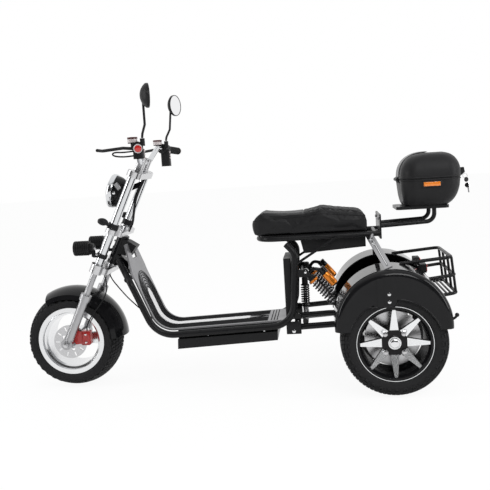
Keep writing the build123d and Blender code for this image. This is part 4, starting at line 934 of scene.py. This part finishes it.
# Front wheel: a polished cast rim with flat spokes, and a steel disc on the left of its hub.
# Five domed bolts hold the disc, and capped nuts close both ends of the axle.
finish_nodes(polished_alloy, "front_rim")
finish_nodes(brushed_steel, "front_disc", "rear_disc_left", "rear_disc_right", "front_axle")
DISC_BOLT_CIRCLE = 0.0265
disc_bolts = []
for i in range(5):
    around = pi / 2 + i * 2 * pi / 5
    place = (FRONT_AXLE_X + DISC_BOLT_CIRCLE * cos(around), 0.1022, WHEEL_HEIGHT + DISC_BOLT_CIRCLE * sin(around))
    disc_bolts.append(nut(place, (0, 1, 0), 0.0070, 0.0042))
fit_piece(join_pieces(disc_bolts), "disc_bolts", "front_wheel", brushed_steel)
axle_caps = []
for sign in (1, -1):
    place = (FRONT_AXLE_X, sign * 0.1715, WHEEL_HEIGHT)
    axle_caps.append(nut(place, (0, sign, 0), 0.019, 0.009))
fit_piece(join_pieces(axle_caps), "axle_nuts", "steering", brushed_steel)

# Brake caliper: a red cast body with a raised cover, and two bright bolts that hold it.
# It grips the disc from behind the left fork leg.
red_paint = finish_material("red paint", (0.42, 0.008, 0.008), (0.55, 0.015, 0.012), (0.2, 0.3), coat=0.6)
finish_nodes(red_paint, "brake_caliper")
CALIPER_X = FRONT_AXLE_X - 0.084
CALIPER_Z = WHEEL_HEIGHT + 0.018
COVER_MIDDLE = CALIPER_X - 0.002


def block(place, size, edge, steps=3, turn=(0, 0, 0), soft=True):
    """A block with bevelled edges, smooth over them where soft."""
    deselect_all()
    bpy.ops.mesh.primitive_cube_add(size=1, location=place, scale=size, rotation=turn)
    bpy.ops.object.transform_apply(location=True, rotation=True, scale=True)
    bpy.ops.object.mode_set(mode="EDIT")
    bpy.ops.mesh.select_all(action="SELECT")
    bpy.ops.mesh.bevel(offset=edge, segments=steps, affect="EDGES")
    bpy.ops.object.mode_set(mode="OBJECT")
    if soft:
        bpy.ops.object.shade_smooth_by_angle(angle=radians(35))
    return bpy.context.object


cover = block((COVER_MIDDLE, 0.1150, CALIPER_Z), (0.040, 0.010, 0.062), 0.004, soft=False)
select_faces(cover, lambda centre, normal: normal.y > 0.95)
bpy.ops.mesh.inset(thickness=0.006)
bpy.ops.mesh.extrude_region_move(TRANSFORM_OT_translate={"value": (0, -0.002, 0)})
bpy.ops.object.mode_set(mode="OBJECT")
bpy.ops.object.shade_smooth_by_angle(angle=radians(30))
fit_piece(cover, "caliper_cover", "steering", red_paint)
caliper_bolts = []
for height in (0.020, -0.020):
    caliper_bolts.append(nut((COVER_MIDDLE, 0.1180, CALIPER_Z + height), (0, 1, 0), 0.0085, 0.0060))
fit_piece(join_pieces(caliper_bolts), "caliper_bolts", "steering", polished_alloy)

# Headlight: a deep black bowl with a rolled bright rim that holds a fluted glass, and a round pivot bolt each side.
# The glass is backed by a bright reflector.
chrome = finish_material("chrome", (0.66, 0.67, 0.69), (0.76, 0.77, 0.78), (0.12, 0.18), 1.0, (300, 0.01))
lamp_glass = finish_material(
    "lamp glass", (0.50, 0.52, 0.54), (0.70, 0.72, 0.74), (0.06, 0.12), 0.85, (260, 0.3), coat=1.0,
)
satin_alloy = finish_material("satin alloy", (0.38, 0.38, 0.39), (0.50, 0.50, 0.51), (0.32, 0.45), 1.0, (1600, 0.15))
finish_nodes(black_paint, "headlight")
LAMP_FACE = Vector((0.604, 0, 0.970))
LAMP_AHEAD = Vector((cos(radians(13.6)), 0, sin(radians(13.6))))
RIM_OUTLINE = (
    (-0.0150, 0.0785), (-0.0155, 0.0820), (-0.0120, 0.0842), (-0.0020, 0.0846), (0.0050, 0.0838), (0.0090, 0.0808),
    (0.0098, 0.0768), (0.0075, 0.0738), (0.0040, 0.0745), (-0.0150, 0.0785),
)
rim = turned(RIM_OUTLINE, LAMP_FACE, LAMP_AHEAD, 64)
fit_piece(rim, "headlight_rim", "steering", chrome)
GLASS_OUTLINE = (
    (0.0050, 0.0742), (0.0075, 0.0738), (0.0150, 0.0650), (0.0215, 0.0530), (0.0265, 0.0380), (0.0298, 0.0200),
    (0.0306, 0.0),
)
glass = turned(GLASS_OUTLINE, LAMP_FACE, LAMP_AHEAD, 64)
fit_piece(glass, "headlight_glass", "steering", lamp_glass)
PLATE_TURN = -0.95
lamp_bolts = []
plates = []
for sign in (1, -1):
    pivot = LAMP_FACE - LAMP_AHEAD * 0.030
    lamp_bolts.append(nut((pivot.x, sign * 0.0915, pivot.z), (0, sign, 0), 0.012, 0.007))
    place = (pivot.x - 0.022, sign * 0.0925, pivot.z + 0.030)
    plates.append(block(place, (0.034, 0.004, 0.020), 0.0012, 2, (0, PLATE_TURN, 0), soft=False))
fit_piece(join_pieces(lamp_bolts), "headlight_bolts", "steering", polished_alloy)
fit_piece(join_pieces(plates), "headlight_plates", "steering", satin_alloy)

# Spotlights: finned black housings on a bar, each with a dark face of seven small round lenses in a ring.
# The fins are turned rings round the housing.
finish_nodes(black_plastic, "spotlights", "turn_signals")
SPOT_BACK = Vector((0.706, 0.118, 0.704))
FIN_OUTLINE = [(0.006, 0.0325)]
for i in range(6):
    FIN_OUTLINE += [
        (0.009 + i * 0.009, 0.0325), (0.0095 + i * 0.009, 0.0362), (0.0125 + i * 0.009, 0.0362),
        (0.0130 + i * 0.009, 0.0325),
    ]
FIN_OUTLINE.append((0.0640, 0.0325))
FACE_OUTLINE = (
    (0.0740, 0.0), (0.0740, 0.0300), (0.0742, 0.0348), (0.0765, 0.0352), (0.0772, 0.0335), (0.0752, 0.0305),
    (0.0748, 0.0290), (0.0748, 0.0),
)
LENS_OUTLINE = ((0.0, 0.0078), (0.0012, 0.0076), (0.0030, 0.0060), (0.0042, 0.0030), (0.0045, 0.0))
for side, sign in SIDES:
    back = Vector((SPOT_BACK.x, sign * SPOT_BACK.y, SPOT_BACK.z))
    housing = join_pieces([turned(FIN_OUTLINE, back, (1, 0, 0), 40), turned(FACE_OUTLINE, back, (1, 0, 0), 40)])
    fit_piece(housing, f"spotlight_fins_{side}", "steering", black_plastic)
    lenses = []
    for i in range(7):
        offset = Vector((0, 0, 0)) if i == 6 else Vector((0, cos(i * pi / 3), sin(i * pi / 3))) * 0.0185
        lenses.append(turned(LENS_OUTLINE, back + Vector((0.0746, 0, 0)) + offset, (1, 0, 0), 16))
    fit_piece(join_pieces(lenses), f"spotlight_lenses_{side}", "steering", lamp_glass)

# Grips: black rubber sleeves with raised rings, pushed over the ends of the bar.
# Each bar end carries a red reflector in a pale ring.
pale_plastic = finish_material("pale plastic", (0.62, 0.55, 0.55), (0.72, 0.66, 0.66), (0.2, 0.3), coat=0.5)
red_lens = finish_material(
    "red lens", (0.50, 0.008, 0.006), (0.68, 0.020, 0.015), (0.10, 0.2), coat=1.0, pebbles=(420, 0.5),
)
finish_nodes(tyre_rubber, "grips")
BAR_SHOULDER = Vector((0.412, 0.205, 1.172))
BAR_END = Vector((0.353, 0.420, 1.156))
GRIP_RINGS = [(0.004, 0.0170)]
for i in range(11):
    GRIP_RINGS += [
        (0.006 + i * 0.0095, 0.0172), (0.0070 + i * 0.0095, 0.0192), (0.0120 + i * 0.0095, 0.0192),
        (0.0130 + i * 0.0095, 0.0172),
    ]
GRIP_RINGS.append((0.112, 0.0170))
for side, sign in SIDES:
    end = Vector((BAR_END.x, sign * BAR_END.y, BAR_END.z))
    shoulder = Vector((BAR_SHOULDER.x, sign * BAR_SHOULDER.y, BAR_SHOULDER.z))
    inwards = (shoulder - end).normalized()
    sleeve = turned(GRIP_RINGS, end, inwards, 32)
    fit_piece(sleeve, f"grip_rings_{side}", "steering", tyre_rubber)
    ring = turned(
        (
            (-0.0135, 0.0150), (-0.0152, 0.0158), (-0.0156, 0.0180), (-0.0140, 0.0192), (-0.0100, 0.0194),
            (-0.0100, 0.0150), (-0.0135, 0.0150),
        ),
        end, inwards, 32,
    )
    fit_piece(ring, f"bar_end_ring_{side}", "steering", pale_plastic)
    eye = turned(((-0.0138, 0.0152), (-0.0150, 0.0140), (-0.0158, 0.0080), (-0.0160, 0.0)), end, inwards, 32)
    fit_piece(eye, f"bar_end_reflector_{side}", "steering", red_lens)

# Hand controls: fluid reservoirs with a clear window and a dark screwed lid, and small thumb switches.
# The levers and switch blocks are black, and a loop of rod guards the left lever.
dark_red_plastic = finish_material(
    "dark red plastic", (0.05, 0.006, 0.006), (0.09, 0.010, 0.010), (0.25, 0.35), coat=0.4,
)
finish_nodes(black_plastic, "hand_controls")
for side, sign in SIDES:
    pot = Vector((0.419, sign * 0.250, 1.186))
    wall = turned(((0.003, 0.0218), (0.004, 0.0226), (0.019, 0.0226), (0.020, 0.0218)), pot, (0, 0, 1), 36)
    fit_piece(wall, f"reservoir_window_{side}", "steering", pale_plastic)
    lid = turned(
        ((0.0200, 0.0), (0.0200, 0.0228), (0.0215, 0.0236), (0.0265, 0.0236), (0.0280, 0.0224), (0.0280, 0.0)), pot,
        (0, 0, 1), 36,
    )
    fit_piece(lid, f"reservoir_lid_{side}", "steering", dark_red_plastic)
    buttons = []
    for height, finish_radius in ((1.148, 0.006), (1.132, 0.005), (1.118, 0.005)):
        buttons.append(
            turned(
                ((-0.001, finish_radius), (0.003, finish_radius), (0.0042, finish_radius * 0.7), (0.0045, 0.0)),
                (0.3632, sign * 0.272, height), (-1, 0, 0), 18,
            )
        )
    fit_piece(join_pieces(buttons), f"thumb_switches_{side}", "steering", pale_plastic)
loop_line = [
    (0.405, 0.285, 1.150), (0.452, 0.292, 1.146), (0.492, 0.305, 1.150), (0.500, 0.318, 1.140), (0.485, 0.312, 1.130),
    (0.440, 0.296, 1.126), (0.404, 0.285, 1.130),
]
lever_loop = bar_through(loop_line, 0.0036)
fit_piece(lever_loop, "lever_guard_loop", "steering", black_frame)

# Mirrors: a flat silvered glass in the back of each black dish, held by a thin rolled edge.
# Bent rods carry them above the bar, and each is turned a little towards the rider.
mirror_silver = finish_material("mirror silver", (0.92, 0.92, 0.93), (0.94, 0.94, 0.95), (0.02, 0.03), 1.0, (50, 0.0))
finish_nodes(black_plastic, "mirrors")
MIRROR_TURN = radians(20)
for side, sign in SIDES:
    centre = Vector((0.320, sign * 0.300, 1.390))
    ahead = Vector((cos(MIRROR_TURN), sign * sin(MIRROR_TURN), 0))
    mirror = turned(((-0.0012, 0.0), (-0.0012, 0.0505), (0.0, 0.0512)), centre, ahead, 56)
    fit_piece(mirror, f"mirror_glass_{side}", "steering", mirror_silver)
    edge = turned(
        ((0.0, 0.0510), (-0.0024, 0.0512), (-0.0032, 0.0526), (-0.0024, 0.0541), (0.0040, 0.0545), (0.0060, 0.0541)),
        centre, ahead, 56,
    )
    fit_piece(edge, f"mirror_edge_{side}", "steering", black_plastic)

# Rear fenders: pressed and painted, each held to its bracket by two bright bolts, with a hook rod at the rear.
# A bright washer sits under each bolt, and the hook is a bent black rod with a ball end.
finish_nodes(black_paint, "rear_fender_left", "rear_fender_right", "front_fender")
FENDER_FACE_Y = 0.3882
FENDER_BOLT_HEIGHTS = (0.467, 0.433)
for side, sign in SIDES:
    bolts = []
    for height in FENDER_BOLT_HEIGHTS:
        bolts.append(nut((-0.690, sign * FENDER_FACE_Y, height), (0, sign, 0), 0.011, 0.006))
    fit_piece(join_pieces(bolts), f"fender_bolts_{side}", "frame", polished_alloy)
    hook_line = [
        (-0.930, sign * 0.372, 0.352), (-0.950, sign * 0.374, 0.345), (-0.966, sign * 0.374, 0.350),
        (-0.974, sign * 0.374, 0.362),
    ]
    hook = bar_through(hook_line, 0.0055)
    ball = turned(
        ((0.0, 0.0), (0.002, 0.006), (0.007, 0.0092), (0.012, 0.0092), (0.017, 0.006), (0.019, 0.0)),
        (-0.971, sign * 0.374, 0.354), (-0.3, 0, 1), 24,
    )
    fit_piece(join_pieces([hook, ball]), f"fender_hook_{side}", "frame", black_frame)

# Fender lips: the rolled edge that stiffens the lower edge of each skirt, and the one along the inner arch.
# Both are bent from the fender's own sheet and painted with it.
SKIRT_RADIUS = 0.2055
ARCH_RADIUS = 0.2535
TAB_REAR = -0.732
TAB_FRONT = -0.608
TAB_HEIGHT = 0.4105
ARCH_CENTRE = Vector((-0.707, 0, 0.316))
for side, sign in SIDES:
    lip_line = []
    for i in range(25):
        around = radians(157) - radians(132) * i / 24
        spot = Vector(
            (REAR_AXLE_X + SKIRT_RADIUS * cos(around), sign * 0.3856, WHEEL_HEIGHT + SKIRT_RADIUS * sin(around))
        )
        if TAB_REAR < spot.x < TAB_FRONT:
            spot.z = TAB_HEIGHT
        lip_line.append(spot)
    lip = bar_through(lip_line, 0.0036, around=2)
    inner_line = []
    for i in range(29):
        around = radians(178) - radians(176) * i / 28
        inner_line.append(
            Vector(
                (ARCH_CENTRE.x + ARCH_RADIUS * cos(around), sign * 0.1535, ARCH_CENTRE.z + ARCH_RADIUS * sin(around))
            )
        )
    inner_lip = bar_through(inner_line, 0.0034, around=2)
    fit_piece(join_pieces([lip, inner_lip]), f"fender_lips_{side}", "frame", black_paint)

# Fender stays: flat satin bars with a pressed rib down the middle.
# Each runs from the seat rails to the fender and is bolted at the top.
finish_nodes(satin_alloy, "fender_stays")
for side, sign in SIDES:
    inner = Vector((-0.640, sign * 0.140, 0.684))
    outer = Vector((-0.694, sign * 0.364, 0.577))
    along = (outer - inner).normalized()
    across = Vector((1, 0, -0.36))
    across = (across - along * across.dot(along)).normalized()
    top = along.cross(across).normalized()
    if top.z < 0:
        top = -top
    rib = bar_through([inner.lerp(outer, share) + top * 0.0042 for share in (0.10, 0.35, 0.65, 0.93)], 0.0042)
    bolts = [rib]
    for share in (0.05, 0.20):
        bolts.append(nut(inner.lerp(outer, share) + top * 0.0045 + across * 0.008, top, 0.010, 0.005))
    fit_piece(join_pieces(bolts), f"stay_trim_{side}", "frame", polished_alloy)

# Tail box: moulded black plastic, with a lip where tub and lid meet and a raised band from the hinge over the top.
# An orange reflector is let into each side under the seam.
box_plastic = finish_material(
    "box plastic", (0.014, 0.014, 0.015), (0.022, 0.022, 0.023), (0.38, 0.5), pebbles=(850, 0.45),
)
# Painted highlight: the raised band is part of the lid's black moulding, but it is given a lighter grey than the box
# plastic to stand in for the light it catches.
band_painted_highlight_plastic = finish_material(
    "band plastic with painted highlight", (0.04, 0.04, 0.042), (0.07, 0.07, 0.072), (0.2, 0.3), coat=0.2, grain=(1200, 0.2),
)
orange_lens = finish_material(
    "orange lens", (0.85, 0.20, 0.01), (0.95, 0.28, 0.02), (0.15, 0.25), coat=1.0, pebbles=(380, 0.5),
)
finish_nodes(box_plastic, "tail_box", "box_lid", "box_latch")
SEAM_FRONT = -0.786
SEAM_REAR = -1.056
SEAM_HALF = 0.158
SEAM_CORNER = 0.068


def box_loop(grow, height):
    """Points round the box at the seam, grown outwards a little."""
    loop = []
    front = SEAM_FRONT + grow
    rear = SEAM_REAR - grow
    half = SEAM_HALF + grow
    corner = SEAM_CORNER + grow
    # Columns: centre of each corner's arc and the angle where it starts.
    for centre_x, centre_y, start in (
        (front - corner, half - corner, 0), (rear + corner, half - corner, 90),
        (rear + corner, -half + corner, 180), (front - corner, -half + corner, 270),
    ):
        for i in range(9):
            around = radians(start + 90 * i / 8)
            loop.append(Vector((centre_x + corner * cos(around), centre_y + corner * sin(around), height)))
    return loop


tub_lip = bar_through(box_loop(-0.0008, 0.9388), 0.0036, closed=True, smooth=False)
fit_piece(tub_lip, "tub_lip", "frame", box_plastic)
lid_lip = bar_through(box_loop(-0.0004, 0.9500), 0.0042, closed=True, smooth=False)
fit_piece(lid_lip, "lid_lip", "lid", box_plastic)
# The lid's middle line from the front seam over the top: (x, z).
LID_LINE = (
    (-0.7865, 0.952), (-0.7880, 0.976), (-0.7915, 0.994), (-0.7980, 1.010), (-0.8080, 1.026), (-0.8220, 1.039),
    (-0.8380, 1.049), (-0.8560, 1.0565), (-0.8760, 1.0608), (-0.8950, 1.0628), (-0.9200, 1.0630),
)
BAND_HALF = 0.050
BAND_HIGH = 0.0032
BAND_LOW = 0.0012
deselect_all()
bpy.ops.mesh.primitive_grid_add(x_subdivisions=len(LID_LINE) - 1, y_subdivisions=8, size=1)
band = bpy.context.object
for vertex in band.data.vertices:
    step = round((vertex.co.x + 0.5) * (len(LID_LINE) - 1))
    across = vertex.co.y * 2
    x, z = LID_LINE[step]
    raised = BAND_HIGH if 0.30 < abs(across) < 0.95 else BAND_LOW
    past = LID_LINE[max(step - 1, 0)]
    future = LID_LINE[min(step + 1, len(LID_LINE) - 1)]
    ahead = Vector((future[0] - past[0], 0, future[1] - past[1])).normalized()
    outwards = Vector((ahead.z, 0, -ahead.x))
    vertex.co = Vector((x, across * BAND_HALF, z)) + outwards * raised
thicken = band.modifiers.new("thickness", "SOLIDIFY")
thicken.thickness = 0.0045
thicken.offset = 0
bpy.ops.object.modifier_apply(modifier=thicken.name)
soften = band.modifiers.new("soften", "SUBSURF")
soften.levels = 2
soften.render_levels = 2
bpy.ops.object.modifier_apply(modifier=soften.name)
bpy.ops.object.shade_smooth()
fit_piece(band, "lid_band", "lid", band_painted_highlight_plastic)
knuckles = []
for sign in (1, -1):
    knuckles.append(
        turned(
            ((0.0, 0.0), (0.0, 0.0070), (0.0012, 0.0080), (0.0200, 0.0080), (0.0212, 0.0070), (0.0212, 0.0)),
            (-0.778, sign * 0.0305, 0.944), (0, sign, 0), 24,
        )
    )
fit_piece(join_pieces(knuckles), "hinge_ends", "frame", black_plastic)
for side, sign in SIDES:
    frames = []
    for size, depth in (((0.088, 0.010, 0.030), 0.1545), ((0.074, 0.006, 0.019), 0.1585)):
        frames.append(block((-0.920, sign * depth, 0.9195), size, 0.0022))
    fit_piece(frames[0], f"reflector_frame_{side}", "frame", box_plastic)
    fit_piece(frames[1], f"reflector_{side}", "frame", orange_lens)

# Keys: two flat steel keys with black heads, on a thin ring in the latch's lock.
# They hang from the lid, so they lift with it.
ring = turned(
    ((-0.0008, 0.0102), (0.0, 0.0110), (0.0008, 0.0102), (0.0, 0.0094), (-0.0008, 0.0102)), (-1.096, 0, 0.943),
    (0, 1, 0.25), 32,
)
lock = turned(
    ((0.0, 0.0), (0.0, 0.0085), (0.004, 0.0085), (0.0052, 0.0072), (0.0052, 0.0)), (-1.0895, 0, 0.962), (-1, 0, 0.1),
    24,
)
fit_piece(join_pieces([ring, lock]), "key_ring", "lid", polished_alloy)
keys = []
heads = []
# Columns: place of a key's head, its tilt and its turn.
for place, tilt, turn in (((-1.1005, 0.004, 0.925), 0.30, 0.5), ((-1.1060, -0.004, 0.898), 0.12, -0.4)):
    deselect_all()
    bpy.ops.mesh.primitive_cylinder_add(
        vertices=28, radius=0.0115, depth=0.0038, location=place, rotation=(pi / 2, tilt, turn),
    )
    bpy.ops.object.transform_apply(location=True, rotation=True, scale=True)
    bpy.ops.object.mode_set(mode="EDIT")
    bpy.ops.mesh.select_all(action="SELECT")
    bpy.ops.mesh.bevel(offset=0.0010, segments=2, affect="EDGES")
    bpy.ops.object.mode_set(mode="OBJECT")
    heads.append(bpy.context.object)
    blade_place = Vector(place) + Vector((-0.04 * tilt, 0, -0.022))
    keys.append(block(blade_place, (0.0060, 0.0020, 0.026), 0.0006, 2, (0, tilt, turn), soft=False))
fit_piece(join_pieces(heads), "key_heads", "lid", black_plastic)
fit_piece(join_pieces(keys), "key_blades", "lid", brushed_steel)

# Rear lamps: red lenses on the backs of two black lamp bodies inside the basket.
# Their edges are rounded, and a pebbled pattern spreads the light.
finish_nodes(black_plastic, "rear_lamps")
for side, sign in SIDES:
    lens = block((-0.8855, sign * 0.112, 0.534), (0.006, 0.060, 0.032), 0.0024)
    fit_piece(lens, f"rear_lens_{side}", "frame", red_lens)

# Frame: welded black tube and plate, with a battery box under the floor and plastic covers at the neck and seat post.
# Bright bolts hold the foot of each seat post, the shock eyes, the rack plate and the swing-arm pivots.
finish_nodes(black_paint, "head_tube", "swing_arms", "axle_housing")
finish_nodes(black_frame, "frame_rail_left", "frame_rail_right", "battery_box", "seat_rails", "seat_struts", "basket")
finish_nodes(black_frame, "box_rack")
finish_nodes(black_plastic, "neck_box", "seat_post_panel", "under_seat_box")
# Columns: name, place on the left, axis on the left, size across, height.
FRAME_BOLTS = (
    ("post_foot", (-0.262, 0.1640, 0.266), (0, 1, 0), 0.013, 0.008),
    ("shock_top", (-0.329, 0.1340, 0.540), (0, 1, 0), 0.012, 0.007),
    ("shock_foot", (-0.474, 0.1340, 0.368), (0, 1, 0), 0.012, 0.007),
    ("arm_pivot", (-0.282, 0.1320, 0.302), (0, 1, 0), 0.012, 0.007),
    ("board_side", (0.150, 0.1500, 0.262), (0, 1, 0), 0.008, 0.004),
    ("board_rear", (-0.120, 0.1500, 0.272), (0, 1, 0), 0.008, 0.004),
)
for name, place, axis, across, height in FRAME_BOLTS:
    pair = []
    for side, sign in SIDES:
        pair.append(nut((place[0], sign * place[1], place[2]), (axis[0], sign * axis[1], axis[2]), across, height))
    fit_piece(join_pieces(pair), f"{name}_bolts", "frame", polished_alloy)
plates = []
for side, sign in SIDES:
    plates.append(block((-0.262, sign * 0.158, 0.281), (0.070, 0.010, 0.060), 0.003))
fit_piece(join_pieces(plates), "post_foot_plates", "frame", black_frame)
rack_bolts = []
for y in (0.075, -0.075):
    for z in (0.697, 0.771):
        rack_bolts.append(nut((-0.6828, y, z), (1, 0, 0), 0.012, 0.006))
fit_piece(join_pieces(rack_bolts), "rack_plate_bolts", "frame", brushed_steel)

# Fork and handlebar: satin legs in cast crowns, with long chromed tubes up to a chromed bar.
# Screws clamp the lower crown round the legs. The brake hose and the loom are black rubber, as is the frame's cable.
cast_alloy = finish_material("cast alloy", (0.55, 0.55, 0.56), (0.70, 0.70, 0.71), (0.22, 0.34), 1.0, (700, 0.25))
finish_nodes(satin_alloy, "fork_lowers", "fork_stanchions")
finish_nodes(cast_alloy, "lower_crown", "middle_yoke", "upper_crown")
finish_nodes(chrome, "fork_tubes", "handlebar")
finish_nodes(tyre_rubber, "fork_hoses", "frame_cable")
crown_bolts = []
for sign in (1, -1):
    for height in (0.0, 0.030):
        crown_bolts.append(nut((0.6600 + height * 0.2, sign * 0.169, 0.676 + height), (0, sign, 0), 0.008, 0.004))
fit_piece(join_pieces(crown_bolts), "crown_bolts", "steering", brushed_steel)
